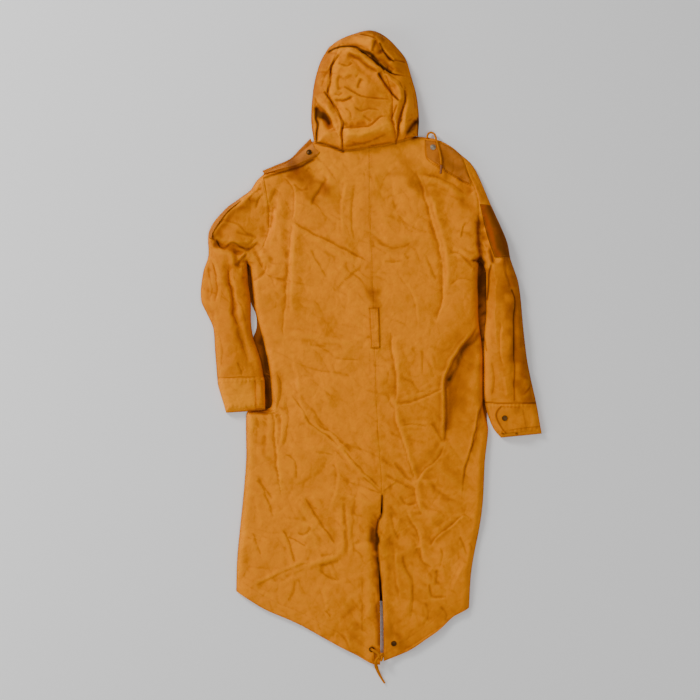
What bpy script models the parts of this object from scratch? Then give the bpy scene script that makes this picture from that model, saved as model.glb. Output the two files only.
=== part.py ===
"""A long hooded parka of heavy dry-finish cotton, laid face down on a flat surface.

+X is the viewer's right, +Y runs from the hem to the hood and +Z is up. Every outline is drawn in plan, in
metres from the nape, which is the middle of the neck seam. Each piece of cloth is a wall between four edges.
Its outer face follows the lie of the garment: a low swell with rolled sides and the folds of the tables.
"""

from dataclasses import dataclass

import bmesh
import bpy
import numpy as np
from mathutils import Matrix, Vector
from mathutils.bvhtree import BVHTree

# Cloth
CLOTH = 0.0016
GAP = 0.0003
SEAM = 0.0005
LAID_ON = 0.0006
PATCH_CLOTH = 0.0010
PATCH_ROOM = 0.0006

# The lie of the body and sleeves, and of the hood
BODY_LOFT = 0.014
BODY_ROLL = 0.020
HEM_LOFT = 0.45
HEM_REACH = 0.070
HOOD_LOFT = 0.044
HOOD_ROLL = 0.042
NECK_TUCK = 0.012
FRONT_HEM = -0.990
# Where the rows of the body's sides lie; they crowd round the cuff that lies beside the left flank
FLANK_LEVELS = (
    -0.249, -0.293, -0.333, -0.373, -0.417, -0.457, -0.490, -0.515, -0.545, -0.574, -0.587, -0.596, -0.608,
    -0.645, -0.690,
)
FRONT_HEM_EASE = 0.030
FRONT_HEM_DIP = 0.022
FRONT_NECK_MIDDLE = -0.006
FLY_HALF_WIDTH = 0.030
FLY_TOP = -0.020
FLY_END = -1.000

# How many rows of facets each stretch of the body's sides has
SHOULDER_ROWS = 3
ARMHOLE_ROWS = 8
UNDERARM_ROWS = 2
TAIL_ROWS = 10
SLEEVE_ROWS = 20
UNDER_ROWS = 14

# Hardware
STUD_RADIUS = 0.0065
STUD_HEIGHT = 0.0024
EYELET_RADIUS = 0.0062
EYELET_HOLE = 0.0032
EYELET_HEIGHT = 0.0014
CORD_DIAMETER = 0.0045
HOOD_CORD_STEP = 0.0060
HEM_CORD_STEP = 0.0022
TIP_LENGTH = 0.020
TIP_RADIUS = 0.0033
KNOT_RADIUS = 0.0062
KNOT_REACH = 0.0066

# Where the nape lies, measured from the middle of the garment's outline
NAPE = (0.0016, 0.4380)

# The edges of the cut pieces in plan
NECK_LEFT = ((-0.122, 0.014), (-0.091, 0.011), (-0.062, 0.005), (-0.005, 0.011))
NECK_RIGHT = ((0.093, 0.029), (0.053, 0.023), (-0.005, 0.011))
SHOULDER_LEFT = ((-0.122, 0.014), (-0.148, -0.001), (-0.182, -0.025), (-0.215, -0.041), (-0.241, -0.055))
SHOULDER_RIGHT = ((0.093, 0.029), (0.128, 0.026), (0.153, 0.019), (0.177, 0.006), (0.197, -0.011))
ARMHOLE_LEFT = ((-0.241, -0.055), (-0.234, -0.091), (-0.228, -0.135), (-0.230, -0.180), (-0.240, -0.214))
ARMHOLE_RIGHT = ((0.197, -0.011), (0.209, -0.051), (0.225, -0.086), (0.234, -0.121), (0.237, -0.215))
UNDERARM_LEFT = ((-0.240, -0.214), (-0.257, -0.235), (-0.277, -0.249))
UNDERARM_RIGHT = ((0.237, -0.215), (0.238, -0.232), (0.237, -0.249))
SIDE_LEFT = (
    (-0.277, -0.249), (-0.270, -0.262), (-0.267, -0.293), (-0.260, -0.333), (-0.253, -0.373),
    (-0.251, -0.417),
    (-0.250, -0.457), (-0.245, -0.490), (-0.236, -0.515), (-0.231, -0.545), (-0.230, -0.574),
    (-0.236, -0.587),
    (-0.262, -0.596), (-0.277, -0.608), (-0.279, -0.645), (-0.279, -0.688), (-0.286, -0.776),
    (-0.293, -0.843), (-0.299, -0.909), (-0.301, -0.978),
)
SIDE_RIGHT = (
    (0.237, -0.249), (0.239, -0.275), (0.243, -0.311), (0.245, -0.377), (0.243, -0.466), (0.246, -0.555),
    (0.254, -0.650), (0.250, -0.692), (0.246, -0.776), (0.239, -0.832), (0.226, -0.898), (0.219, -0.945),
    (0.215, -1.015),
)
HEM_TAIL_LEFT = (
    (-0.301, -0.978), (-0.239, -1.017), (-0.168, -1.048), (-0.082, -1.095), (-0.031, -1.121),
    (0.002, -1.139), (0.019, -1.141),
)
HEM_TAIL_RIGHT = (
    (0.215, -1.015), (0.184, -1.031), (0.150, -1.062), (0.122, -1.082), (0.080, -1.110), (0.026, -1.132),
)
CENTRE_SEAM = (
    (-0.005, 0.011), (-0.005, -0.113), (-0.001, -0.245), (0.004, -0.356), (0.009, -0.554), (0.022, -0.759),
)
VENT_LEFT = (
    (0.022, -0.759), (0.017, -0.808), (0.010, -0.850), (0.012, -0.900), (0.017, -0.995), (0.019, -1.141),
)
VENT_RIGHT = (
    (0.022, -0.759), (0.020, -0.808), (0.014, -0.850), (0.017, -0.900), (0.021, -0.995), (0.026, -1.132),
)
SLEEVE_LEFT_OUTER = (
    (-0.241, -0.055), (-0.255, -0.068), (-0.270, -0.090), (-0.290, -0.105), (-0.328, -0.134),
    (-0.361, -0.180), (-0.363, -0.236), (-0.374, -0.271), (-0.379, -0.331), (-0.363, -0.369),
    (-0.352, -0.395), (-0.348, -0.444), (-0.343, -0.506),
)
SLEEVE_LEFT_INNER = (
    (-0.277, -0.249), (-0.276, -0.270), (-0.275, -0.293), (-0.269, -0.333), (-0.268, -0.384),
    (-0.268, -0.417),
    (-0.262, -0.457), (-0.259, -0.480), (-0.257, -0.503),
)
SLEEVE_RIGHT_OUTER = (
    (0.197, -0.011), (0.217, -0.028), (0.232, -0.050), (0.263, -0.121), (0.299, -0.203), (0.307, -0.242),
    (0.325, -0.298), (0.336, -0.402), (0.345, -0.473), (0.364, -0.561),
)
SLEEVE_RIGHT_INNER = (
    (0.237, -0.249), (0.244, -0.257), (0.252, -0.280), (0.254, -0.322), (0.252, -0.362), (0.252, -0.442),
    (0.253, -0.510), (0.254, -0.561),
)
# The fronts show a little beyond the back at the sides, and the under sleeves make room for them
FRONT_SIDE_LEFT = (
    (-0.277, -0.249), (-0.269, -0.270), (-0.265, -0.293), (-0.259, -0.333), (-0.254, -0.373),
    (-0.254, -0.417),
    (-0.263, -0.440), (-0.263, -0.470), (-0.258, -0.488), (-0.235, -0.510), (-0.230, -0.545),
    (-0.230, -0.574),
    (-0.236, -0.590), (-0.262, -0.597), (-0.276, -0.609), (-0.279, -0.645), (-0.279, -0.688),
    (-0.286, -0.776),
    (-0.293, -0.843), (-0.299, -0.909), (-0.301, -0.978),
)
FRONT_SIDE_RIGHT = (
    (0.237, -0.249), (0.239, -0.265), (0.244, -0.290), (0.249, -0.333), (0.249, -0.460), (0.250, -0.555),
    (0.254, -0.600), (0.256, -0.650), (0.250, -0.692), (0.246, -0.776), (0.239, -0.832), (0.226, -0.898),
    (0.219, -0.945), (0.215, -1.015),
)
SLEEVE_LEFT_UNDER_INNER = (
    (-0.277, -0.249), (-0.277, -0.290), (-0.273, -0.333), (-0.270, -0.400), (-0.272, -0.440),
    (-0.269, -0.475),
    (-0.262, -0.503),
)
SLEEVE_RIGHT_UNDER_INNER = (
    (0.237, -0.249), (0.247, -0.260), (0.256, -0.290), (0.258, -0.400), (0.258, -0.510), (0.257, -0.561),
)
CUFF_LEFT_OUTER = ((-0.343, -0.506), (-0.341, -0.522), (-0.331, -0.556), (-0.323, -0.583))
CUFF_LEFT_INNER = ((-0.257, -0.503), (-0.246, -0.520), (-0.240, -0.552), (-0.237, -0.577))
CUFF_RIGHT_OUTER = ((0.364, -0.561), (0.368, -0.584), (0.372, -0.607), (0.376, -0.629))
CUFF_RIGHT_INNER = ((0.254, -0.561), (0.261, -0.590), (0.272, -0.618), (0.286, -0.638))
HOOD_SIDE_LEFT = (
    (-0.129, 0.019), (-0.135, 0.066), (-0.131, 0.128), (-0.124, 0.165), (-0.113, 0.198), (-0.098, 0.224),
)
HOOD_SIDE_RIGHT = ((0.102, 0.030), (0.104, 0.066), (0.102, 0.097), (0.097, 0.128), (0.087, 0.163))
HOOD_CROWN = (
    (-0.095, 0.228), (-0.071, 0.245), (-0.038, 0.258), (-0.002, 0.265), (0.029, 0.252), (0.057, 0.225),
    (0.075, 0.201), (0.085, 0.170),
)
VISOR_SEAM = (
    (-0.098, 0.224), (-0.066, 0.228), (-0.036, 0.224), (0.004, 0.198), (0.043, 0.169), (0.087, 0.163),
)
HOOD_HEM = (
    (-0.129, 0.019), (-0.091, 0.006), (-0.062, -0.003), (-0.005, 0.004), (0.053, 0.015), (0.102, 0.030),
)
HOOD_SEAM_LEFT = (
    (-0.064, -0.003), (-0.068, 0.058), (-0.084, 0.089), (-0.097, 0.124), (-0.090, 0.169), (-0.072, 0.227),
)
HOOD_SEAM_RIGHT = ((0.053, 0.015), (0.044, 0.065), (0.043, 0.117), (0.017, 0.189))

# What is sewn on top of the panels, in plan
STRAP_LEFT_OUTER = ((-0.243, -0.047), (-0.217, -0.036), (-0.181, -0.020), (-0.160, -0.001), (-0.137, 0.020))
STRAP_LEFT_INNER = ((-0.239, -0.054), (-0.196, -0.044), (-0.168, -0.037), (-0.143, -0.027), (-0.131, -0.021))
STRAP_LEFT_POINT = ((-0.137, 0.020), (-0.119, 0.004), (-0.115, -0.003), (-0.131, -0.021))
STRAP_RIGHT_OUTER = ((0.199, -0.018), (0.178, 0.001), (0.153, 0.013), (0.135, 0.017), (0.117, 0.019))
STRAP_RIGHT_INNER = ((0.217, -0.079), (0.205, -0.073), (0.174, -0.055), (0.148, -0.038), (0.121, -0.019))
BACK_LOOP_TOP = ((-0.004, -0.352), (0.013, -0.352))
BACK_LOOP_BOTTOM = ((-0.001, -0.439), (0.016, -0.439))
ARM_PATCH_RIGHT_OUTER = ((0.262, -0.125), (0.280, -0.165), (0.297, -0.204), (0.304, -0.239))
ARM_PATCH_RIGHT_INNER = ((0.237, -0.123), (0.247, -0.165), (0.258, -0.206), (0.269, -0.240))
ARM_PATCH_LEFT_OUTER = ((-0.294, -0.110), (-0.326, -0.136), (-0.358, -0.181), (-0.361, -0.196))
ARM_PATCH_LEFT_INNER = ((-0.290, -0.115), (-0.321, -0.141), (-0.351, -0.184), (-0.354, -0.197))
CUFF_TAB_LEFT_OUTER = ((-0.258, -0.512), (-0.250, -0.545), (-0.245, -0.572))
CUFF_TAB_LEFT_INNER = ((-0.250, -0.514), (-0.243, -0.545), (-0.239, -0.570))
CUFF_TAB_RIGHT_OUTER = ((0.330, -0.572), (0.335, -0.597), (0.340, -0.624))
CUFF_TAB_RIGHT_INNER = ((0.284, -0.568), (0.274, -0.590), (0.296, -0.628))

STUDS = {
    "strap_snap_left": (-0.139, -0.008),
    "strap_snap_right": (0.134, 0.003),
    "cuff_snap_right": (0.292, -0.594),
    "tail_snap": (0.048, -1.092),
}
EYELET = (-0.001, -1.105)

# The hood's drawcord comes out beside the hood, loops beyond the shoulder and lies back over the strap
HOOD_CORD_ROUTE = (
    (0.1220, 0.0240, 0.0118), (0.1222, 0.0290, 0.0095), (0.1250, 0.0352, 0.0075), (0.1310, 0.0378, 0.0065),
    (0.1370, 0.0350, 0.0085), (0.1398, 0.0285, 0.0125), (0.1415, 0.0205, 0.0180), (0.1432, 0.0135, 0.0218),
    (0.1450, 0.0060, 0.0234), (0.1470, -0.0020, 0.0246), (0.1490, -0.0105, 0.0251),
    (0.1505, -0.0190, 0.0256),
    (0.1515, -0.0280, 0.0262), (0.1520, -0.0360, 0.0266),
)
HOOD_CORD_TIP = ((0.1520, -0.0364, 0.0266), (0.1508, -0.0562, 0.0246))
# The hem's cord leaves its eyelet, swells into a knot, and hangs over the hem on to the surface
HEM_CORD_ROUTE = (
    (-0.0010, -1.1050, 0.0158), (0.0035, -1.1068, 0.0176), (0.0080, -1.1090, 0.0175), (0.0125, -1.1125, 0.0174),
    (0.0160, -1.1170, 0.0174), (0.0182, -1.1225, 0.0172), (0.0178, -1.1285, 0.0160), (0.0148, -1.1330, 0.0142),
    (0.0105, -1.1378, 0.0120), (0.0078, -1.1440, 0.0085), (0.0076, -1.1515, 0.0048), (0.0100, -1.1600, 0.0031),
    (0.0150, -1.1690, 0.0027), (0.0210, -1.1760, 0.0027), (0.0265, -1.1825, 0.0027),
)
KNOT = (0.0176, -1.1200, 0.0174)


@dataclass(frozen=True)
class Fold:
    """A soft ridge, or with a negative height a trough, along a path in plan."""

    name: str
    width: float
    height: float
    path: tuple
    power: float = 2.0


BODY_FOLDS = (
    Fold("left shoulder blade line", 0.008, -0.004, (
        (-0.181, -0.078), (-0.187, -0.160), (-0.187, -0.254), (-0.192, -0.397))),
    Fold("left shoulder blade ridge", 0.014, 0.004, ((-0.170, -0.100), (-0.172, -0.250), (-0.178, -0.380))),
    Fold("right shoulder blade line", 0.008, -0.004, (
        (0.103, -0.058), (0.117, -0.104), (0.150, -0.229), (0.155, -0.278), (0.152, -0.333), (0.135, -0.380))),
    Fold("right shoulder blade ridge", 0.014, 0.004, ((0.122, -0.080), (0.165, -0.229), (0.170, -0.320))),
    Fold("left yoke tuck", 0.006, -0.003, ((-0.100, -0.058), (-0.133, -0.122))),
    Fold("left blade crease", 0.008, 0.004, ((-0.188, -0.160), (-0.093, -0.221), (-0.031, -0.252))),
    Fold("right armpit ridge", 0.008, 0.005, ((0.228, -0.243), (0.188, -0.230))),
    Fold("left armpit curl", 0.008, -0.005, ((-0.268, -0.291), (-0.233, -0.270), (-0.218, -0.236))),
    Fold("right strap hollow", 0.009, -0.007, ((0.190, -0.062), (0.222, -0.098))),
    Fold("waist crease left", 0.008, 0.004, ((-0.192, -0.404), (-0.049, -0.431))),
    Fold("waist crease right", 0.008, 0.003, ((0.055, -0.556), (0.161, -0.528))),
    Fold("second waist crease right", 0.007, 0.003, ((0.062, -0.612), (0.128, -0.603))),
    Fold("long diagonal", 0.011, 0.007, (
        (-0.172, -0.541), (-0.135, -0.605), (-0.088, -0.634), (-0.027, -0.706), (0.018, -0.754))),
    Fold("right hip ridge", 0.010, 0.007, (
        (0.046, -0.552), (0.060, -0.609), (0.080, -0.684), (0.097, -0.739))),
    Fold("star arm up", 0.008, 0.005, ((0.097, -0.739), (0.158, -0.651))),
    Fold("star arm across", 0.008, 0.004, ((0.097, -0.739), (0.145, -0.734))),
    Fold("star arm down", 0.008, 0.005, ((0.097, -0.739), (0.106, -0.803))),
    Fold("tail zigzag", 0.009, 0.005, ((0.127, -0.862), (0.165, -0.829), (0.200, -0.807), (0.240, -0.815))),
    Fold("tail fork", 0.008, 0.004, ((0.101, -0.849), (0.127, -0.922), (0.140, -0.935))),
    Fold("left tail facet", 0.010, 0.005, ((-0.137, -0.765), (-0.110, -0.807), (-0.077, -0.866))),
    Fold("left flank crease", 0.007, 0.003, ((-0.205, -0.820), (-0.137, -0.829))),
    Fold("left tail long crease", 0.009, 0.005, (
        (-0.259, -0.961), (-0.174, -0.925), (-0.123, -0.912), (-0.068, -0.892))),
    Fold("left side step", 0.014, -0.006, (
        (-0.262, -0.420), (-0.252, -0.470), (-0.246, -0.550), (-0.245, -0.620), (-0.248, -0.690)), 4.0),
    Fold("right side step", 0.020, -0.007, (
        (0.240, -0.300), (0.238, -0.390), (0.220, -0.455), (0.200, -0.500), (0.198, -0.600)), 4.0),
    Fold("right side inner fold", 0.008, 0.006, ((0.246, -0.555), (0.228, -0.635), (0.213, -0.686))),
    Fold("vent overlap", 0.009, 0.004, ((0.032, -0.800), (0.026, -0.850), (0.028, -0.920), (0.031, -1.060))),
    Fold("vent underlap", 0.008, -0.003, ((0.008, -0.800), (0.001, -0.850), (0.003, -0.920), (0.006, -1.060))),
)

SLEEVE_FOLDS = (
    Fold("left sleeve swell", 0.034, 0.022, (
        (-0.262, -0.110), (-0.305, -0.180), (-0.312, -0.290), (-0.309, -0.420), (-0.300, -0.540))),
    Fold("left elbow shadow", 0.008, -0.020, ((-0.352, -0.208), (-0.318, -0.218), (-0.284, -0.232))),
    Fold("left elbow notch", 0.007, -0.012, ((-0.302, -0.222), (-0.294, -0.252), (-0.286, -0.262))),
    Fold("left long fold", 0.008, -0.011, (
        (-0.320, -0.222), (-0.318, -0.276), (-0.306, -0.325), (-0.300, -0.372), (-0.270, -0.468))),
    Fold("left outer step", 0.013, -0.012, ((-0.368, -0.262), (-0.370, -0.330), (-0.357, -0.385)), 4.0),
    Fold("left sleeve head fold", 0.010, -0.006, ((-0.196, -0.052), (-0.222, -0.150), (-0.246, -0.204))),
    Fold("right sleeve swell", 0.034, 0.020, (
        (0.228, -0.070), (0.275, -0.190), (0.290, -0.330), (0.296, -0.460), (0.316, -0.590))),
    Fold("right armpit hollow", 0.013, -0.026, ((0.240, -0.150), (0.246, -0.200), (0.250, -0.262)), 3.0),
    Fold("right sleeve seam fold", 0.008, -0.006, (
        (0.312, -0.322), (0.316, -0.342), (0.314, -0.401), (0.312, -0.538), (0.314, -0.560))),
    Fold("right sleeve pleat", 0.007, 0.006, ((0.347, -0.478), (0.347, -0.533), (0.330, -0.553))),
)

HOOD_FOLDS = (
    Fold("visor furrow", 0.008, -0.020, (
        (-0.095, 0.224), (-0.066, 0.228), (-0.036, 0.224), (0.004, 0.198), (0.043, 0.169), (0.082, 0.163))),
    Fold("ridge under the visor", 0.010, 0.010, ((-0.060, 0.211), (-0.052, 0.209), (0.016, 0.158))),
    Fold("valley across the crown", 0.010, -0.008, ((-0.049, 0.190), (0.002, 0.148), (0.054, 0.102))),
    Fold("left seam furrow", 0.008, -0.006, (
        (-0.090, 0.169), (-0.097, 0.124), (-0.084, 0.089), (-0.066, 0.020))),
    Fold("right seam furrow", 0.008, -0.006, (
        (0.030, 0.160), (0.043, 0.117), (0.044, 0.065), (0.052, 0.018))),
    Fold("right second furrow", 0.007, -0.010, ((0.073, 0.128), (0.062, 0.070), (0.056, 0.020))),
    Fold("left hollow", 0.011, -0.022, ((-0.124, 0.098), (-0.106, 0.070), (-0.088, 0.042))),
    Fold("right hollow", 0.009, -0.018, ((0.086, 0.068), (0.100, 0.040))),
    Fold("nape crease", 0.008, -0.008, ((-0.066, 0.048), (-0.011, 0.052))),
    Fold("nape band", 0.008, 0.006, ((-0.058, 0.014), (-0.005, 0.024), (0.036, 0.040))),
)


def dense_curve(points, per_span=16):
    """Points along a smooth curve through the given ones, close enough to measure from."""
    ends = np.array([points[0], *points, points[-1]], float)
    ends[0] = 2 * ends[1] - ends[2]
    ends[-1] = 2 * ends[-2] - ends[-3]
    steps = np.linspace(0, 1, per_span, endpoint=False)[:, None]
    spans = []
    for before, start, end, after in zip(ends, ends[1:], ends[2:], ends[3:]):
        reach = np.linalg.norm(end - start)
        leave = (end - before) / max(np.linalg.norm(end - before), 1e-9) * reach
        arrive = (after - start) / max(np.linalg.norm(after - start), 1e-9) * reach
        spans.append(
            start * (2 * steps**3 - 3 * steps**2 + 1)
            + leave * (steps**3 - 2 * steps**2 + steps)
            + end * (3 * steps**2 - 2 * steps**3)
            + arrive * (steps**3 - steps**2)
        )
    return np.vstack([*spans, ends[-2:-1]])


def along(points, fractions):
    """Points at these fractions of a smooth curve's length."""
    dense = dense_curve(points) if len(points) > 2 else np.array(points, float)
    lengths = np.concatenate([[0], np.cumsum(np.linalg.norm(np.diff(dense, axis=0), axis=1))])
    wanted = np.asarray(fractions) * lengths[-1]
    return np.column_stack([np.interp(wanted, lengths, dense[:, axis]) for axis in range(dense.shape[1])])


def at_levels(points, levels):
    """Points of a steadily falling curve at these levels in plan."""
    dense = dense_curve(points)[::-1]
    return np.column_stack([np.interp(levels, dense[:, 1], dense[:, 0]), levels])


def even(count):
    return np.linspace(0, 1, count + 1)


def one_end(count, power=1.6):
    """Fractions that crowd towards 0, where the cloth rolls over."""
    return even(count) ** power


def both_ends(count):
    """Fractions that crowd towards 0 and 1."""
    return 0.5 - 0.5 * np.cos(np.pi * even(count))


def path_distance(places, path):
    """How far each place is from a path, and how far along the path its nearest point lies, from 0 to 1."""
    route = np.array(path, float)
    lengths = np.linalg.norm(np.diff(route, axis=0), axis=1)
    before = np.concatenate([[0], np.cumsum(lengths)])
    best = np.full(len(places), np.inf)
    where = np.zeros(len(places))
    for start, end, length, done in zip(route, route[1:], lengths, before):
        share = np.clip(((places - start) @ (end - start)) / max(length**2, 1e-12), 0, 1)
        away = np.linalg.norm(places - start - share[:, None] * (end - start), axis=1)
        nearer = away < best
        best[nearer] = away[nearer]
        where[nearer] = (done + share[nearer] * length) / before[-1]
    return best, where


def inside(places, ring):
    """Which places lie within a closed ring."""
    found = np.zeros(len(places), bool)
    for (x0, y0), (x1, y1) in zip(ring, np.roll(ring, -1, axis=0)):
        if y0 == y1:
            continue
        crosses = (y0 > places[:, 1]) != (y1 > places[:, 1])
        found ^= crosses & (places[:, 0] < (x1 - x0) * (places[:, 1] - y0) / (y1 - y0) + x0)
    return found


def rise(depth, roll, power):
    """How far the cloth has risen this deep inside its edge: 0 at the edge, 1 past the roll."""
    within = 1 - (1 - np.clip(depth / roll, 0, 1)) ** power
    return np.where(depth < 0, power * depth / roll, within)


@dataclass
class Lie:
    """How part of the garment lies: the height of its outer face over any place in plan."""

    edges: tuple
    loft: float
    roll: float
    power: float
    folds: tuple
    hem: tuple = ()
    on_front: bool = False

    def __post_init__(self):
        self.lines = [dense_curve(edge, 6) for edge in self.edges]
        self.ring = np.vstack(self.lines)
        self.hem_line = np.vstack([dense_curve(edge, 6) for edge in self.hem]) if self.hem else None

    def floor(self, places):
        """The top of what this part of the garment lies on."""
        if not self.on_front:
            return np.zeros(len(places))
        return CLOTH * np.clip((places[:, 1] - FRONT_HEM + FRONT_HEM_EASE) / FRONT_HEM_EASE, 0, 1)

    def height(self, places):
        depth = path_distance(places, self.ring)[0]
        depth = np.where(inside(places, self.ring), depth, -depth)
        swell = np.full(len(places), self.loft)
        for fold in self.folds:
            away, where = path_distance(places, fold.path)
            ends = np.clip(np.minimum(where, 1 - where) / 0.22, 0, 1)
            taper = 0.25 + 0.75 * ends * (2 - ends)
            swell += fold.height * taper * np.exp(-((away / fold.width) ** fold.power))
        if self.hem_line is not None:
            near = np.clip(path_distance(places, self.hem_line)[0] / HEM_REACH, 0, 1)
            swell *= HEM_LOFT + (1 - HEM_LOFT) * near * (2 - near)
        lowest = self.floor(places) + GAP + CLOTH
        return lowest + rise(depth, self.roll, self.power) * np.maximum(swell, 0.002)

    def normals(self, places, reach=0.0006):
        """The way the outer face looks, from its slope in X and in Y."""
        sideways = np.array([reach, 0])
        lengthways = np.array([0, reach])
        slope_x = (self.height(places + sideways) - self.height(places - sideways)) / (2 * reach)
        slope_y = (self.height(places + lengthways) - self.height(places - lengthways)) / (2 * reach)
        ways = np.column_stack([-slope_x, -slope_y, np.ones(len(places))])
        return ways / np.linalg.norm(ways, axis=1)[:, None]


def patch(left, right, bottom, top):
    """A grid in plan between four edges: rows run from the bottom edge, columns from the left one."""
    rows = np.linspace(0, 1, len(left))[:, None, None]
    columns = np.linspace(0, 1, len(bottom))[None, :, None]
    if len(bottom) > 2:
        spans = np.linalg.norm(np.diff(bottom, axis=0), axis=1)
        columns = (np.concatenate([[0], np.cumsum(spans)]) / spans.sum())[None, :, None]
    across = (1 - columns) * left[:, None, :] + columns * right[:, None, :]
    lengthways = (1 - rows) * bottom[None, :, :] + rows * top[None, :, :]
    corners = (
        (1 - columns) * (1 - rows) * left[0]
        + columns * (1 - rows) * right[0]
        + (1 - columns) * rows * left[-1]
        + columns * rows * right[-1]
    )
    return across + lengthways - corners


def draw_in(grid, left=0.0, right=0.0, bottom=0.0, top=0.0):
    """Moves the edges of a grid in, square to each edge, by the room that their seams need."""
    drawn = grid.copy()
    for edge, inner, amount in (
        ((slice(None), 0), (slice(None), 1), left),
        ((slice(None), -1), (slice(None), -2), right),
        ((0, slice(None)), (1, slice(None)), bottom),
        ((-1, slice(None)), (-2, slice(None)), top),
    ):
        if amount:
            run = np.gradient(grid[edge], axis=0)
            square = np.column_stack([-run[:, 1], run[:, 0]]) / np.linalg.norm(run, axis=1)[:, None]
            inwards = np.sign(np.sum(square * (grid[inner] - grid[edge]), axis=1))[:, None]
            drawn[edge] += square * inwards * amount
    return drawn


def seam_mask(grid, *edges):
    """Which points of a grid lie on its sewn edges, where the wall ends upright."""
    mask = np.zeros(grid.shape[:2], bool)
    for edge in edges:
        mask[edge] = True
    return mask


def dress(name, material, mesh):
    made = bpy.data.objects.new(name, mesh)
    made.data.materials.append(material)
    bpy.context.scene.collection.objects.link(made)
    return made


def wall_object(name, material, outer, inner):
    """A closed wall between two grids of points, the outer one looking out."""
    rows, columns = outer.shape[:2]
    count = rows * columns
    at = np.arange(count).reshape(rows, columns)
    faces = []
    for row in range(rows - 1):
        for column in range(columns - 1):
            near, far = at[row, column], at[row, column + 1]
            over, beyond = at[row + 1, column], at[row + 1, column + 1]
            faces.append((near, far, beyond, over))
            faces.append((near + count, over + count, beyond + count, far + count))
    rim = [*at[0, :], *at[1:, -1], *at[-1, -2::-1], *at[-2:0:-1, 0]]
    for here, there in zip(rim, rim[1:] + rim[:1]):
        faces.append((there, here, here + count, there + count))
    mesh = bpy.data.meshes.new(name)
    mesh.from_pydata(np.vstack([outer.reshape(-1, 3), inner.reshape(-1, 3)]).tolist(), [], faces)
    tidy = bmesh.new()
    tidy.from_mesh(mesh)
    bmesh.ops.recalc_face_normals(tidy, faces=tidy.faces)
    tidy.to_mesh(mesh)
    tidy.free()
    return dress(name, material, mesh)


def panel(name, material, grid, lie, sewn, over=None):
    """A cut piece that follows the lie of the garment, clear of what it laps over."""
    rows, columns = grid.shape[:2]
    places = grid.reshape(-1, 2)
    rests_at = lie.floor(places) + (GAP if lie.on_front else 0)
    heights = np.maximum(lie.height(places), rests_at + 0.5 * CLOTH)
    if over:
        heights = np.maximum(heights, over(places, CLOTH + LAID_ON))
    outer = np.column_stack([places, heights])
    inner = outer - CLOTH * lie.normals(places)
    inner[sewn.reshape(-1)] = (outer - (0, 0, CLOTH))[sewn.reshape(-1)]
    inner[:, 2] = np.maximum(inner[:, 2], rests_at)
    if over:
        inner[:, 2] = np.maximum(inner[:, 2], over(inner[:, :2], LAID_ON))
    return wall_object(name, material, outer.reshape(rows, columns, 3), inner.reshape(rows, columns, 3))


def flat_panel(name, material, grid):
    """A hidden piece that lies flat on the surface."""
    rows, columns = grid.shape[:2]
    inner = np.dstack([grid, np.zeros((rows, columns))])
    outer = np.dstack([grid, np.full((rows, columns), CLOTH)])
    return wall_object(name, material, outer, inner)


def carried_by(*carriers):
    """A function that gives the top of the carriers near each place plus some room, or 0 beside them."""
    trees = []
    for carrier in carriers:
        mesh = carrier.data
        corners = [vertex.co[:] for vertex in mesh.vertices]
        trees.append(BVHTree.FromPolygons(corners, [face.vertices[:] for face in mesh.polygons]))

    def top(places, room, reach=0.004):
        found = np.zeros(len(places))
        for index, (x, y) in enumerate(places):
            for dx, dy in ((0, 0), (reach, 0), (-reach, 0), (0, reach), (0, -reach)):
                for tree in trees:
                    hit = tree.ray_cast(Vector((x + dx, y + dy, 1)), Vector((0, 0, -1)))[0]
                    if hit:
                        found[index] = max(found[index], hit.z + room)
        return found

    return top


def laid_on(name, material, grid, carrier, lift=None, thickness=CLOTH):
    """A piece sewn flat on others: its under face is their top moved out, and lift raises parts of it."""
    rows, columns = grid.shape[:2]
    places = grid.reshape(-1, 2)
    under = carrier(places, LAID_ON)
    if lift is not None:
        under = under + lift.reshape(-1)
    inner = np.column_stack([places, under])
    outer = np.column_stack([places, under + thickness])
    return wall_object(name, material, outer.reshape(rows, columns, 3), inner.reshape(rows, columns, 3))


def moved_out(name, material, grid, lie, thickness):
    """A piece sewn on a swelling part: the lie's own points, moved out square to the cloth."""
    rows, columns = grid.shape[:2]
    places = grid.reshape(-1, 2)
    face = np.column_stack([places, lie.height(places)])
    ways = lie.normals(places)
    outer = face + (LAID_ON + thickness) * ways
    inner = face + LAID_ON * ways
    return wall_object(name, material, outer.reshape(rows, columns, 3), inner.reshape(rows, columns, 3))


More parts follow.
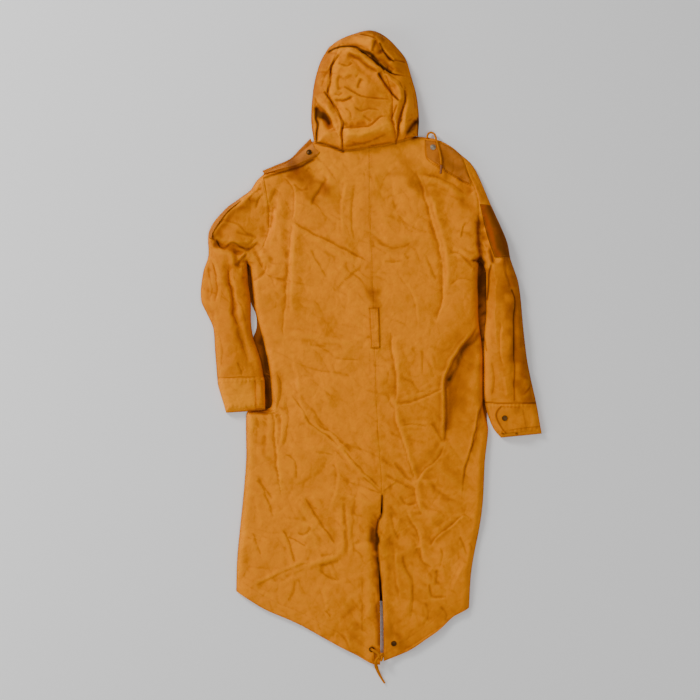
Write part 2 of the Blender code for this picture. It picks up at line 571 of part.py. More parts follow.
def cloth_band(name, material, grid, lie):
    """A cuff: one wall that runs over the sleeve's end and back underneath, flat on the surface."""
    rows, columns = grid.shape[:2]
    places = grid.reshape(-1, 2)
    outer = np.column_stack([places, lie.height(places)])
    inner = outer - CLOTH * lie.normals(places)
    inner[:, 2] = np.maximum(inner[:, 2], CLOTH + GAP)
    outer, inner = outer.reshape(rows, columns, 3), inner.reshape(rows, columns, 3)
    under_outer, under_inner = outer[:, ::-1].copy(), inner[:, ::-1].copy()
    under_outer[..., 2] = 0
    under_inner[..., 2] = CLOTH
    outer_loop = np.concatenate([outer, under_outer], axis=1)
    inner_loop = np.concatenate([inner, under_inner], axis=1)
    around = 2 * columns
    count = rows * around
    at = np.arange(count).reshape(rows, around)
    faces = []
    for row in range(rows - 1):
        for column in range(around):
            following = (column + 1) % around
            quad = (at[row, column], at[row, following], at[row + 1, following], at[row + 1, column])
            faces.append(quad)
            faces.append(tuple(index + count for index in reversed(quad)))
    for column in range(around):
        following = (column + 1) % around
        for row in (0, rows - 1):
            here, there = at[row, column], at[row, following]
            faces.append((here, there, there + count, here + count))
    mesh = bpy.data.meshes.new(name)
    mesh.from_pydata(np.vstack([outer_loop.reshape(-1, 3), inner_loop.reshape(-1, 3)]).tolist(), [], faces)
    tidy = bmesh.new()
    tidy.from_mesh(mesh)
    bmesh.ops.recalc_face_normals(tidy, faces=tidy.faces)
    tidy.to_mesh(mesh)
    tidy.free()
    return dress(name, material, mesh)


def turned(name, material, profile, centre, tilt, segments=16):
    """A turned piece: a profile of (radius, height) pairs spun round an axis that leans by tilt."""
    shape = bmesh.new()
    points = [shape.verts.new((radius, 0, height)) for radius, height in profile]
    edges = [shape.edges.new(pair) for pair in zip(points, points[1:])]
    bmesh.ops.spin(
        shape, geom=points + edges, cent=(0, 0, 0), axis=(0, 0, 1), angle=2 * np.pi, steps=segments,
        use_merge=True,
    )
    bmesh.ops.remove_doubles(shape, verts=shape.verts, dist=0.00001)
    bmesh.ops.recalc_face_normals(shape, faces=shape.faces)
    turn = Vector((0, 0, 1)).rotation_difference(Vector(tilt)).to_matrix().to_4x4()
    shape.transform(Matrix.Translation(centre) @ turn)
    mesh = bpy.data.meshes.new(name)
    shape.to_mesh(mesh)
    shape.free()
    mesh.shade_smooth()
    mesh.set_sharp_from_angle(angle=0.7)
    return dress(name, material, mesh)


def finish(name, colour, roughness, metallic=0.0):
    made = bpy.data.materials.new(name)
    made.use_nodes = True
    shader = made.node_tree.nodes["Principled BSDF"]
    shader.inputs["Base Color"].default_value = (*colour, 1)
    shader.inputs["Roughness"].default_value = roughness
    shader.inputs["Metallic"].default_value = metallic
    return made


def clear_scene():
    for item in list(bpy.data.objects):
        bpy.data.objects.remove(item, do_unlink=True)


def build_body(cloth, lie):
    """The back panels over the flat fronts."""
    armhole_span = slice(SHOULDER_ROWS, SHOULDER_ROWS + ARMHOLE_ROWS + UNDERARM_ROWS + 1)
    flank_drop = (np.array(FLANK_LEVELS) - FLANK_LEVELS[0]) / (FLANK_LEVELS[-1] - FLANK_LEVELS[0])
    seam_levels = (
        np.linspace(0.011, -0.062, SHOULDER_ROWS + 1),
        np.linspace(-0.062, FLANK_LEVELS[0], ARMHOLE_ROWS + UNDERARM_ROWS + 1),
        FLANK_LEVELS[0] + flank_drop * (VENT_LEFT[0][1] - FLANK_LEVELS[0]),
    )
    sides = {
        "left": (
            NECK_LEFT, SHOULDER_LEFT, ARMHOLE_LEFT, UNDERARM_LEFT, SIDE_LEFT, HEM_TAIL_LEFT, VENT_LEFT,
        ),
        "right": (
            NECK_RIGHT, SHOULDER_RIGHT, ARMHOLE_RIGHT, UNDERARM_RIGHT, SIDE_RIGHT, HEM_TAIL_RIGHT, VENT_RIGHT,
        ),
    }
    made = {}
    for side, (neck, shoulder, armhole, underarm, flank, hem, vent) in sides.items():
        outer_edge = np.vstack([
            along(shoulder, even(SHOULDER_ROWS)),
            along(armhole, both_ends(ARMHOLE_ROWS))[1:],
            along(underarm, even(UNDERARM_ROWS))[1:],
            at_levels(flank, FLANK_LEVELS)[1:],
            at_levels(flank, np.linspace(FLANK_LEVELS[-1], flank[-1][1], TAIL_ROWS + 1))[1:],
        ])
        centre_edge = np.vstack([
            at_levels(CENTRE_SEAM, seam_levels[0]),
            at_levels(CENTRE_SEAM, seam_levels[1])[1:],
            at_levels(CENTRE_SEAM, seam_levels[2])[1:],
            along(vent, even(TAIL_ROWS))[1:],
        ])
        columns = one_end(12)
        grid = patch(outer_edge, centre_edge, along(neck, columns), along(hem, columns))
        grid = draw_in(grid, right=SEAM / 2)
        grid[armhole_span, 0] = draw_in(grid, left=SEAM / 2)[armhole_span, 0]
        sewn = seam_mask(grid, (slice(None), -1), (armhole_span, 0))
        made[side] = panel(f"back_{side}", cloth, grid, lie, sewn)
    return made


def build_fronts(cloth):
    """The fronts and the fly between them, hidden underneath and flat."""
    for side, shoulder, armhole, underarm, flank, turn in (
        ("left", SHOULDER_LEFT, ARMHOLE_LEFT, UNDERARM_LEFT, FRONT_SIDE_LEFT, -1),
        ("right", SHOULDER_RIGHT, ARMHOLE_RIGHT, UNDERARM_RIGHT, FRONT_SIDE_RIGHT, 1),
    ):
        hem_level = max(FRONT_HEM + 0.014, flank[-1][1] + 0.002)
        levels = [*FLANK_LEVELS, *np.linspace(FLANK_LEVELS[-1], hem_level, 5)[1:]]
        outer_edge = np.vstack([
            along(shoulder, even(SHOULDER_ROWS)), along(armhole, both_ends(ARMHOLE_ROWS))[1:],
            along(underarm, even(UNDERARM_ROWS))[1:], at_levels(flank, levels)[1:],
        ])
        inner_x = turn * (FLY_HALF_WIDTH + GAP)
        first, last = outer_edge[0], outer_edge[-1]
        count = len(outer_edge)
        inner_levels = np.linspace(FLY_TOP, last[1] - FRONT_HEM_DIP, count)
        inner_edge = np.column_stack([np.full(count, inner_x), inner_levels])
        columns = even(3)
        neck_middle = (0.5 * (first[0] + inner_x), FRONT_NECK_MIDDLE)
        neckline = along((first, neck_middle, inner_edge[0]), columns)
        hem_middle = (0.5 * (last[0] + inner_x), last[1] - 0.8 * FRONT_HEM_DIP)
        hem = along((last, hem_middle, inner_edge[-1]), columns)
        grid = patch(outer_edge, inner_edge, neckline, hem)
        armhole_span = slice(SHOULDER_ROWS, SHOULDER_ROWS + ARMHOLE_ROWS + UNDERARM_ROWS + 1)
        grid[armhole_span, 0] = draw_in(grid, left=SEAM / 2)[armhole_span, 0]
        flat_panel(f"front_{side}", cloth, grid)
    top_left, top_right = (-FLY_HALF_WIDTH, FLY_TOP), (FLY_HALF_WIDTH, FLY_TOP)
    low_left, low_right = (-FLY_HALF_WIDTH, FLY_END), (FLY_HALF_WIDTH, FLY_END)
    fly = patch(
        along((top_left, low_left), even(6)), along((top_right, low_right), even(6)),
        along((top_left, top_right), even(2)), along((low_left, low_right), even(2)),
    )
    flat_panel("front_fly", cloth, fly)


def build_sleeves(cloth, lie):
    """Each sleeve's top and under pieces, its cuff and the cuff's tab."""
    made = {}
    for side, armhole, underarm, outer, inner, under_inner, cuff_outer, cuff_inner, tab in (
        ("left", ARMHOLE_LEFT, UNDERARM_LEFT, SLEEVE_LEFT_OUTER, SLEEVE_LEFT_INNER,
         SLEEVE_LEFT_UNDER_INNER, CUFF_LEFT_OUTER, CUFF_LEFT_INNER, (CUFF_TAB_LEFT_OUTER, CUFF_TAB_LEFT_INNER)),
        ("right", ARMHOLE_RIGHT, UNDERARM_RIGHT, SLEEVE_RIGHT_OUTER, SLEEVE_RIGHT_INNER,
         SLEEVE_RIGHT_UNDER_INNER, CUFF_RIGHT_OUTER, CUFF_RIGHT_INNER,
         (CUFF_TAB_RIGHT_OUTER, CUFF_TAB_RIGHT_INNER)),
    ):
        columns = both_ends(ARMHOLE_ROWS)
        cuff_seam = (outer[-1], inner[-1])
        underarm_span = (slice(0, UNDERARM_ROWS + 1), -1)
        underarm_edge = along(underarm, even(UNDERARM_ROWS))

        def inner_edge(curve, rows):
            return np.vstack([underarm_edge, along(curve, even(rows - UNDERARM_ROWS))[1:]])

        grid = patch(
            along(outer, even(SLEEVE_ROWS)), inner_edge(inner, SLEEVE_ROWS),
            along(armhole, columns), along(cuff_seam, columns),
        )
        grid = draw_in(grid, bottom=SEAM / 2, top=SEAM / 2)
        grid[underarm_span] = draw_in(grid, right=SEAM / 2)[underarm_span]
        sewn = seam_mask(grid, 0, -1, underarm_span)
        made[f"sleeve_{side}"] = panel(f"sleeve_{side}", cloth, grid, lie, sewn)
        under = patch(
            along(outer, even(UNDER_ROWS)), inner_edge(under_inner, UNDER_ROWS),
            along(armhole, columns), along((outer[-1], under_inner[-1]), columns),
        )
        under = draw_in(under, bottom=SEAM / 2, top=SEAM / 2)
        under[underarm_span] = draw_in(under, right=SEAM)[underarm_span]
        flat_panel(f"sleeve_{side}_under", cloth, under)
        cuff_rows = even(3)
        cuff_end = (cuff_outer[-1], cuff_inner[-1])
        cuff = patch(
            along(cuff_outer, cuff_rows), along(cuff_inner, cuff_rows),
            along(cuff_seam, columns), along(cuff_end, columns),
        )
        cuff = draw_in(cuff, bottom=SEAM / 2)
        made[f"cuff_{side}"] = cloth_band(f"cuff_{side}", cloth, cuff, lie)
        tab_outer, tab_inner = tab
        tab_grid = patch(
            along(tab_outer, even(5)), along(tab_inner, even(5)),
            along((tab_outer[0], tab_inner[0]), even(3)), along((tab_outer[-1], tab_inner[-1]), even(3)),
        )
        made[f"tab_{side}"] = laid_on(f"cuff_tab_{side}", cloth, tab_grid, carried_by(made[f"cuff_{side}"]))
    return made


def build_hood(cloth, lie, backs):
    """The hood's centre, sides and visor, lapping over the neck seam."""
    over = carried_by(*backs.values())

    def neck_only(places, room):
        tops = over(places, room)
        return np.where(places[:, 1] < NECK_TUCK + 0.030, tops, 0)

    hem = dense_curve(HOOD_HEM)
    crown = dense_curve(VISOR_SEAM)

    def cut(curve, start_x, end_x, count):
        xs = np.linspace(start_x, end_x, count + 1)
        return np.column_stack([xs, np.interp(xs, curve[:, 0], curve[:, 1])])

    pieces = (
        ("hood_left", HOOD_SIDE_LEFT, HOOD_SEAM_LEFT, (-0.129, -0.064), (-0.098, -0.072), 6, (0, 1)),
        ("hood_centre", HOOD_SEAM_LEFT, HOOD_SEAM_RIGHT, (-0.064, 0.053), (-0.072, 0.017), 9, (1, 1)),
        ("hood_right", HOOD_SEAM_RIGHT, HOOD_SIDE_RIGHT, (0.053, 0.102), (0.017, 0.087), 6, (1, 0)),
    )
    rows = 13
    crown_edge = []
    for name, left, right, hem_span, crown_span, columns, seams in pieces:
        crown_edge.append(cut(crown, *crown_span, columns))
        sides = along(left, even(rows)), along(right, even(rows))
        grid = patch(*sides, cut(hem, *hem_span, columns), crown_edge[-1])
        grid = draw_in(grid, left=seams[0] * SEAM / 2, right=seams[1] * SEAM / 2, top=SEAM / 2)
        edges = [(slice(None), edge) for edge, sewn in zip((0, -1), seams) if sewn]
        panel(name, cloth, grid, lie, seam_mask(grid, -1, *edges), neck_only)
    left_end = ((-0.098, 0.224), (-0.095, 0.228))
    right_end = ((0.087, 0.163), (0.085, 0.170))
    crown_edge = np.vstack([crown_edge[0], crown_edge[1][1:], crown_edge[2][1:]])
    grid = patch(along(left_end, even(5)), along(right_end, even(5)), crown_edge,
                 along(HOOD_CROWN, even(len(crown_edge) - 1)))
    panel("hood_visor", cloth, draw_in(grid, bottom=SEAM / 2), lie, seam_mask(grid, 0))


def build_trims(cloth, patch_cloth, lie, backs, sleeves):
    """Shoulder straps, the loop at the centre back and the arm patches."""
    made = {}
    back = carried_by(*backs.values())
    columns = even(3)
    rows = even(9)
    strap = patch(
        along(STRAP_LEFT_OUTER, rows), along(STRAP_LEFT_INNER, rows),
        along((STRAP_LEFT_OUTER[0], STRAP_LEFT_INNER[0]), columns), along(STRAP_LEFT_POINT, columns),
    )
    lift = np.linspace(0, 1, 4)[None, :] * np.sin(np.pi * np.linspace(0.08, 1, 10))[:, None] * 0.007
    made["left"] = laid_on("shoulder_strap_left", cloth, strap, back, lift)
    strap = patch(
        along(STRAP_RIGHT_OUTER, rows), along(STRAP_RIGHT_INNER, rows),
        along((STRAP_RIGHT_OUTER[0], STRAP_RIGHT_INNER[0]), columns),
        along((STRAP_RIGHT_OUTER[-1], STRAP_RIGHT_INNER[-1]), columns),
    )
    lift = 0.0006 + np.linspace(0, 1, 4)[None, :] * np.sin(np.pi * np.linspace(0.1, 1, 10))[:, None] * 0.002
    made["right"] = laid_on("shoulder_strap_right", cloth, strap, back, lift)
    loop = patch(
        along((BACK_LOOP_TOP[0], BACK_LOOP_BOTTOM[0]), even(8)),
        along((BACK_LOOP_TOP[1], BACK_LOOP_BOTTOM[1]), even(8)),
        along(BACK_LOOP_TOP, even(2)), along(BACK_LOOP_BOTTOM, even(2)),
    )
    bow = np.sin(np.pi * even(8))[:, None] * np.ones((1, 3)) * 0.003
    laid_on("back_loop", cloth, loop, back, bow)
    for side, outer, inner in (
        ("left", ARM_PATCH_LEFT_OUTER, ARM_PATCH_LEFT_INNER),
        ("right", ARM_PATCH_RIGHT_OUTER, ARM_PATCH_RIGHT_INNER),
    ):
        across = even(5) if side == "right" else even(2)
        grid = patch(
            along(outer, even(10)), along(inner, even(10)),
            along((outer[0], inner[0]), across), along((outer[-1], inner[-1]), across),
        )
        if side == "left":
            moved_out(f"arm_patch_{side}", patch_cloth, grid, lie, PATCH_CLOTH)
        else:
            room = np.full(grid.shape[:2], PATCH_ROOM)
            sleeve = carried_by(sleeves["sleeve_right"])
            laid_on(f"arm_patch_{side}", patch_cloth, grid, sleeve, room, PATCH_CLOTH)
    return made


def build_hardware(metal, backs, sleeves, straps):
    """Press studs and the eyelet, each set flat on the cloth that carries it."""
    stud = (
        (0, 0), (STUD_RADIUS, 0), (STUD_RADIUS, STUD_HEIGHT * 0.4), (STUD_RADIUS * 0.86, STUD_HEIGHT * 0.8),
        (STUD_RADIUS * 0.45, STUD_HEIGHT), (0, STUD_HEIGHT),
    )
    carriers = {
        "strap_snap_left": (straps["left"],),
        "strap_snap_right": (straps["right"],),
        "cuff_snap_right": (sleeves["tab_right"], sleeves["cuff_right"]),
        "tail_snap": (backs["right"],),
    }
    for name, (x, y) in STUDS.items():
        top, tilt = seat(carried_by(*carriers[name]), x, y, STUD_RADIUS)
        turned(name, metal, stud, (x, y, top), tilt)
    ring = (
        (EYELET_HOLE, 0), (EYELET_RADIUS, 0), (EYELET_RADIUS, EYELET_HEIGHT * 0.5),
        (0.5 * (EYELET_RADIUS + EYELET_HOLE), EYELET_HEIGHT), (EYELET_HOLE, EYELET_HEIGHT * 0.5),
        (EYELET_HOLE, 0),
    )
    top, tilt = seat(carried_by(backs["left"]), *EYELET, EYELET_RADIUS)
    turned("hem_eyelet", metal, ring, (*EYELET, top), tilt)


def cord(name, material, route, step, knot=None):
    """A round cord along the smooth curve through a route, with a swelling where it is knotted."""
    dense = dense_curve(route)
    length = np.linalg.norm(np.diff(dense, axis=0), axis=1).sum()
    places = along(route, even(round(length / step)))
    curve = bpy.data.curves.new(name, "CURVE")
    curve.dimensions = "3D"
    curve.bevel_depth = CORD_DIAMETER / 2
    curve.bevel_resolution = 2
    curve.use_fill_caps = True
    curve.materials.append(material)
    line = curve.splines.new("POLY")
    line.points.add(len(places) - 1)
    for point, place in zip(line.points, places):
        point.co = (*place, 1)
        if knot:
            away = np.linalg.norm(place - knot) / KNOT_REACH
            point.radius = max(1, np.sqrt(max(1 - away**2, 0)) * KNOT_RADIUS / (CORD_DIAMETER / 2))
    made = bpy.data.objects.new(name, curve)
    bpy.context.scene.collection.objects.link(made)
    return made


def build_cords(cloth, leather):
    """The hood's drawcord with its tip, and the knotted cord at the hem."""
    cord("hood_cord", cloth, HOOD_CORD_ROUTE, HOOD_CORD_STEP)
    start, end = (Vector(point) for point in HOOD_CORD_TIP)
    tip = (
        (0, 0), (TIP_RADIUS * 0.9, 0), (TIP_RADIUS, TIP_LENGTH * 0.1), (TIP_RADIUS, TIP_LENGTH * 0.6),
        (TIP_RADIUS * 0.8, TIP_LENGTH), (0, TIP_LENGTH),
    )
    turned("hood_cord_tip", leather, tip, start, end - start, 10)
    cord("hem_cord", cloth, HEM_CORD_ROUTE, HEM_CORD_STEP, KNOT)


def seat(carrier, x, y, radius):
    """Where a round piece sits on its carrier, and which way it then leans."""
    ring = np.array([(x + radius, y), (x - radius, y), (x, y + radius), (x, y - radius), (x, y)])
    tops = carrier(ring, 0, 0.0005)
    lean = Vector((tops[1] - tops[0], tops[3] - tops[2], 2 * radius)).normalized()
    middle = max(tops[4], tops[:2].mean(), tops[2:4].mean())
    return middle + LAID_ON, lean


def main():
    clear_scene()
    cloth = finish("ochre dry-finish cotton", (0.61, 0.21, 0.012), 0.72)
    patch_cloth = finish("brown patch cotton", (0.21, 0.075, 0.008), 0.8)
    metal = finish("dark bronze", (0.10, 0.07, 0.035), 0.4, 0.9)
    leather = finish("brown leather", (0.24, 0.07, 0.008), 0.6)
    edges = (
        SHOULDER_LEFT, SLEEVE_LEFT_OUTER, CUFF_LEFT_OUTER, CUFF_LEFT_INNER[::-1], SLEEVE_LEFT_INNER[::-1],
        SIDE_LEFT, (SIDE_LEFT[-1], (-0.301, -1.300), (0.215, -1.300), SIDE_RIGHT[-1]), SIDE_RIGHT[::-1],
        SLEEVE_RIGHT_INNER, CUFF_RIGHT_INNER, CUFF_RIGHT_OUTER[::-1], SLEEVE_RIGHT_OUTER[::-1],
        SHOULDER_RIGHT[::-1], (SHOULDER_RIGHT[0], (0.093, 0.200), (-0.122, 0.200), SHOULDER_LEFT[0]),
    )
    hem = (HEM_TAIL_LEFT, HEM_TAIL_RIGHT)
    body = Lie(edges, BODY_LOFT, BODY_ROLL, 3.0, BODY_FOLDS + SLEEVE_FOLDS, hem, True)
    hood_edges = (
        HOOD_SIDE_LEFT, ((-0.098, 0.224), (-0.095, 0.228)), HOOD_CROWN, ((0.085, 0.170), (0.087, 0.163)),
        HOOD_SIDE_RIGHT[::-1], HOOD_HEM[::-1],
    )
    head = Lie(hood_edges, HOOD_LOFT, HOOD_ROLL, 2.2, HOOD_FOLDS)
    backs = build_body(cloth, body)
    build_fronts(cloth)
    sleeves = build_sleeves(cloth, body)
    build_hood(cloth, head, backs)
    straps = build_trims(cloth, patch_cloth, body, backs, sleeves)
    build_hardware(metal, backs, sleeves, straps)
    build_cords(cloth, leather)
    for made in bpy.data.objects:
        made.location = (*NAPE, 0)


main()
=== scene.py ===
"""Looks of a long hooded parka of ochre waxed-look cotton, laid face down on a pale surface.

Plan tables are in millimetres from the nape, the middle of the neck seam: X to the viewer's right, Y towards
the hood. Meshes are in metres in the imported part's own frame, with +Z up.
"""

from __future__ import annotations

import logging
from dataclasses import dataclass, field, replace
from enum import Enum
from typing import Callable, Iterable, Sequence

import bpy
import numpy as np
from mathutils import Matrix, Vector
from mathutils.bvhtree import BVHTree

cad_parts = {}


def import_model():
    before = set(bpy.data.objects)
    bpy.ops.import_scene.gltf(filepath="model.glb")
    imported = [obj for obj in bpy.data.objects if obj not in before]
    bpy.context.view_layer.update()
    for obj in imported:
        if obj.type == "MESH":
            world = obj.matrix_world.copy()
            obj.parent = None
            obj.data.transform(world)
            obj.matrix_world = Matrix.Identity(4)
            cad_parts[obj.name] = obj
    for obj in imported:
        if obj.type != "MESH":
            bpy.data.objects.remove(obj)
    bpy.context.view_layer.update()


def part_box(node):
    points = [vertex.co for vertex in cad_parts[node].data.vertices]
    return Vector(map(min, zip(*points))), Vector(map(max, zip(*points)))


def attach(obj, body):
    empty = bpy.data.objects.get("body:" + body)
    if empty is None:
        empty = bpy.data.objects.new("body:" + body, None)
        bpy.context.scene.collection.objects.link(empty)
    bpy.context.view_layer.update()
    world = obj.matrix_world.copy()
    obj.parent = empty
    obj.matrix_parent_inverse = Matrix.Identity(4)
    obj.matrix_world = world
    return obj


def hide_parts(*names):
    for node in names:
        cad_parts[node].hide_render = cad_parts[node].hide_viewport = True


LOG = logging.getLogger("parka")
MM = 0.001
NAPE = np.array((0.0016, 0.4380, 0.0))
BODY = "root"
LEAST_FILL, CUT_EASE = 0.45, 0.0006
TINY = 1e-9
UPWARDS = Vector((0, 0, 1))

Route = Sequence[tuple[float, ...]]
Grid = np.ndarray

# ------------------------------------------------------------------ cloth and lie, in millimetres
CLOTH = 1.6
SHELL = 1.3
GAP = 0.3
SEAM = 0.5
LAID_ON = 0.6
BODY_LOFT, BODY_ROLL, BODY_POWER = 14.0, 20.0, 3.0
HOOD_LOFT, HOOD_ROLL, HOOD_POWER = 44.0, 42.0, 2.2
HEM_LOFT, HEM_REACH = 0.45, 70.0
FOLD_SHARE, FOLD_FADE = 0.5, 0.25
HOOD_LIP = 11.0
PUCKER_PITCH, MOST_PUCKER = 1.75, 0.25
CREASE_REACH, CREASE_TAPER = 7, 0.22
WANDER = 1.6
FRONT_HEM, FRONT_HEM_EASE, FRONT_HEM_DIP = -990.0, 30.0, 22.0
FLY_HALF_WIDTH, FLY_TOP, FLY_END = 30.0, -20.0, -1000.0

# ------------------------------------------------------------------ edges of the cut pieces, in millimetres
NECK_LEFT = ((-129, 19), (-91, 11), (-62, 5), (-5, 11))
NECK_RIGHT = ((93, 29), (53, 23), (-5, 11))
SHOULDER_LEFT = ((-129, 19), (-150, 1), (-182, -25), (-215, -41), (-241, -55))
SHOULDER_RIGHT = ((93, 29), (128, 26), (153, 19), (177, 6), (197, -11))
ARMHOLE_LEFT = ((-241, -55), (-234, -91), (-228, -135), (-230, -180), (-240, -214))
ARMHOLE_RIGHT = ((197, -11), (209, -51), (225, -86), (234, -121), (237, -215))
UNDERARM_LEFT = ((-240, -214), (-257, -235), (-277, -249))
UNDERARM_RIGHT = ((237, -215), (238, -232), (237, -249))
SIDE_LEFT = (
    (-277, -249), (-270, -262), (-267, -293), (-262, -340), (-255, -370), (-247, -400), (-237, -440),
    (-229, -480), (-224, -517), (-222, -550), (-222, -564), (-227, -572.5), (-239, -575.4), (-262, -577.8),
    (-275, -579.6), (-279, -592), (-279, -645), (-279, -688), (-286, -776), (-293, -843), (-299, -909),
    (-301, -978),
)
# The left side without the step under the cuff, which the columns away from the edge follow
PLAIN_SIDE_LEFT = (
    (-277, -249), (-267, -300), (-255, -370), (-240, -440), (-228, -500), (-226, -560), (-232, -640),
    (-250, -740), (-275, -850), (-301, -978),
)
SIDE_RIGHT = (
    (237, -249), (235, -269), (234, -298), (235, -320), (236, -375), (239, -402), (243, -430), (245, -466),
    (245, -540), (246, -570), (251, -592), (257, -615), (256, -640), (253, -664), (250, -692), (246, -776),
    (239, -832), (226, -898), (219, -945), (215, -1015),
)
HEM_TAIL_LEFT = (
    (-301, -978), (-239, -1017), (-168, -1048), (-82, -1095), (-31, -1121), (2, -1139), (19, -1141),
)
HEM_TAIL_RIGHT = ((215, -1015), (184, -1031), (150, -1062), (122, -1082), (80, -1110), (26, -1132))
CENTRE_SEAM = ((-5, 11), (-5, -113), (-1, -245), (4, -356), (9, -554), (22, -759))
VENT_LEFT = ((22, -759), (18, -808), (10, -850), (12, -900), (17, -995), (19, -1141))
VENT_RIGHT = (
    (22, -759), (22, -800), (15, -822), (12, -850), (14, -900), (18, -945), (23, -995), (26, -1132),
)
SLEEVE_LEFT_OUTER = (
    (-241, -55), (-255, -68), (-270, -90), (-290, -105), (-328, -134), (-361, -180), (-363, -236),
    (-374, -271), (-379, -331), (-363, -369), (-352, -395), (-348, -444), (-343, -506),
)
SLEEVE_LEFT_INNER = (
    (-277, -249), (-276, -270), (-275, -293), (-269, -333), (-268, -384), (-263, -417), (-255, -440),
    (-246, -470), (-240, -503),
)
SLEEVE_RIGHT_OUTER = (
    (197, -11), (217, -28), (232, -50), (263, -121), (299, -203), (307, -242), (325, -298), (336, -402),
    (345, -473), (364, -561),
)
SLEEVE_RIGHT_INNER = (
    (237, -249), (246, -256), (252, -270), (253, -298), (253, -328), (253, -366), (250, -393), (248, -437),
    (247, -497), (248, -541), (250, -561),
)
FRONT_SIDE_LEFT = (
    (-277, -249), (-276, -270), (-275.5, -293), (-271, -325), (-267, -342), (-257, -366), (-256, -395),
    (-262, -413), (-268, -432), (-268, -450), (-266, -478), (-258, -496), (-243, -500.5), (-239.4, -506),
    (-237.6, -574.5), (-242, -576), (-264, -578), *SIDE_LEFT[-8:],
)
FRONT_SIDE_RIGHT = (
    (237, -249), (250.4, -256.4), (257, -286), (257, -320), (257, -400), (257, -510), (255, -556),
    (255, -600), *SIDE_RIGHT[-9:],
)
SLEEVE_LEFT_UNDER_INNER = (
    (-277, -249), (-277, -290), (-273, -333), (-270, -400), (-272, -440), (-269, -475), (-262, -503),
)
SLEEVE_RIGHT_UNDER_INNER = ((237, -249), (251.5, -255), (258, -285), (258, -400), (258, -510), (257, -561))
CUFF_LEFT_OUTER = ((-343, -506), (-341, -522), (-331, -556), (-323, -583))
CUFF_LEFT_INNER = ((-239, -503), (-237, -514), (-236.6, -552), (-236.6, -577))
CUFF_RIGHT_OUTER = ((364, -561), (368, -584), (372, -607), (376, -629))
CUFF_RIGHT_INNER = ((251, -561), (259, -592), (271, -620), (286, -638))
HOOD_SIDE_LEFT = ((-129, 19), (-135, 66), (-131, 128), (-124, 165), (-113, 198), (-98, 224))
HOOD_SIDE_RIGHT = ((102, 30), (104, 66), (102, 97), (97, 128), (87, 163))
HOOD_CROWN = ((-95, 228), (-71, 245), (-38, 258), (-2, 265), (29, 252), (57, 225), (75, 201), (85, 170))
VISOR_SEAM = ((-98, 224), (-66, 228), (-36, 224), (4, 198), (43, 169), (87, 163))
HOOD_HEM = ((-129, 19), (-91, 6), (-62, -3), (-5, 4), (53, 15), (102, 30))
HOOD_SEAM_LEFT = ((-64, -3), (-68, 58), (-84, 89), (-97, 124), (-90, 169), (-72, 227))
HOOD_SEAM_RIGHT = ((53, 15), (44, 65), (43, 117), (17, 189))
STRAP_LEFT_OUTER = ((-243, -47), (-217, -36), (-181, -20), (-159, 2), (-136, 25))
STRAP_LEFT_INNER = ((-239, -54), (-196, -44), (-168, -37), (-143, -27), (-131, -21))
STRAP_LEFT_POINT = (
    (-136, 25), (-130, 9), (-127.6, 3.4), (-126.8, 2.2), (-118, -5.4), (-116.4, -7), (-117.4, -9),
    (-128, -19.4), (-131, -21),
)
STRAP_RIGHT_OUTER = ((199, -18), (178, 1), (153, 13), (135, 17), (117, 19))
STRAP_RIGHT_INNER = ((217, -79), (205, -73), (174, -55), (148, -38), (121, -19))
BACK_LOOP_TOP = ((-4, -352), (13, -352))
BACK_LOOP_BOTTOM = ((-1, -439), (16, -439))
ARM_PATCH_RIGHT_OUTER = ((262, -125), (280, -165), (297, -204), (304, -239))
ARM_PATCH_RIGHT_INNER = ((237, -123), (247, -165), (258, -206), (269, -240))
ARM_PATCH_LEFT_OUTER = ((-294, -110), (-326, -136), (-358, -181), (-361, -196))
ARM_PATCH_LEFT_INNER = ((-290, -115), (-321, -141), (-351, -184), (-354, -197))
CUFF_TAB_LEFT_OUTER = ((-257, -508), (-256, -540), (-256, -574))
CUFF_TAB_LEFT_INNER = ((-246, -508), (-244, -540), (-243, -574))
CUFF_TAB_RIGHT_OUTER = ((330, -572), (335, -597), (340, -624))
CUFF_TAB_RIGHT_INNER = ((284, -568), (274, -590), (296, -628))
EYELET = (-1, -1105)
STUDS = {
    "strap_snap_left": (-139, -8),
    "strap_snap_right": (134, 3),
    "cuff_snap_right": (292, -594),
    "tail_snap": (48, -1092),
}

# ------------------------------------------------------------------ cord routes, in millimetres with heights
HOOD_CORD_ROUTE = (
    (122.0, 24.0, 11.8), (122.2, 29.0, 9.5), (125.0, 35.2, 7.5), (131.0, 37.8, 6.5), (137.0, 35.0, 8.5),
    (139.8, 28.5, 12.5), (141.5, 20.5, 18.0), (143.2, 13.5, 21.8), (145.0, 6.0, 23.4), (147.0, -2.0, 24.6),
    (149.0, -10.5, 25.1), (150.5, -19.0, 25.6), (151.5, -28.0, 26.2), (152.0, -36.0, 26.6),
)
HOOD_CORD_TIP = ((152.0, -36.4, 26.6), (150.8, -56.2, 24.6))
HEM_CORD_ROUTE = (
    (-1.0, -1105.0, 15.8), (3.5, -1106.8, 17.8), (8.0, -1109.0, 18.2), (12.5, -1112.5, 18.6),
    (15.0, -1117.5, 18.6), (13.0, -1122.5, 18.2), (9.4, -1127.0, 17.4), (7.8, -1132.5, 15.6),
    (8.2, -1138.5, 12.4), (9.6, -1145.0, 8.4), (12.0, -1152.5, 4.6), (15.6, -1161.0, 3.1),
    (20.0, -1169.5, 2.7), (24.2, -1176.5, 2.7), (28.0, -1182.5, 2.7),
)
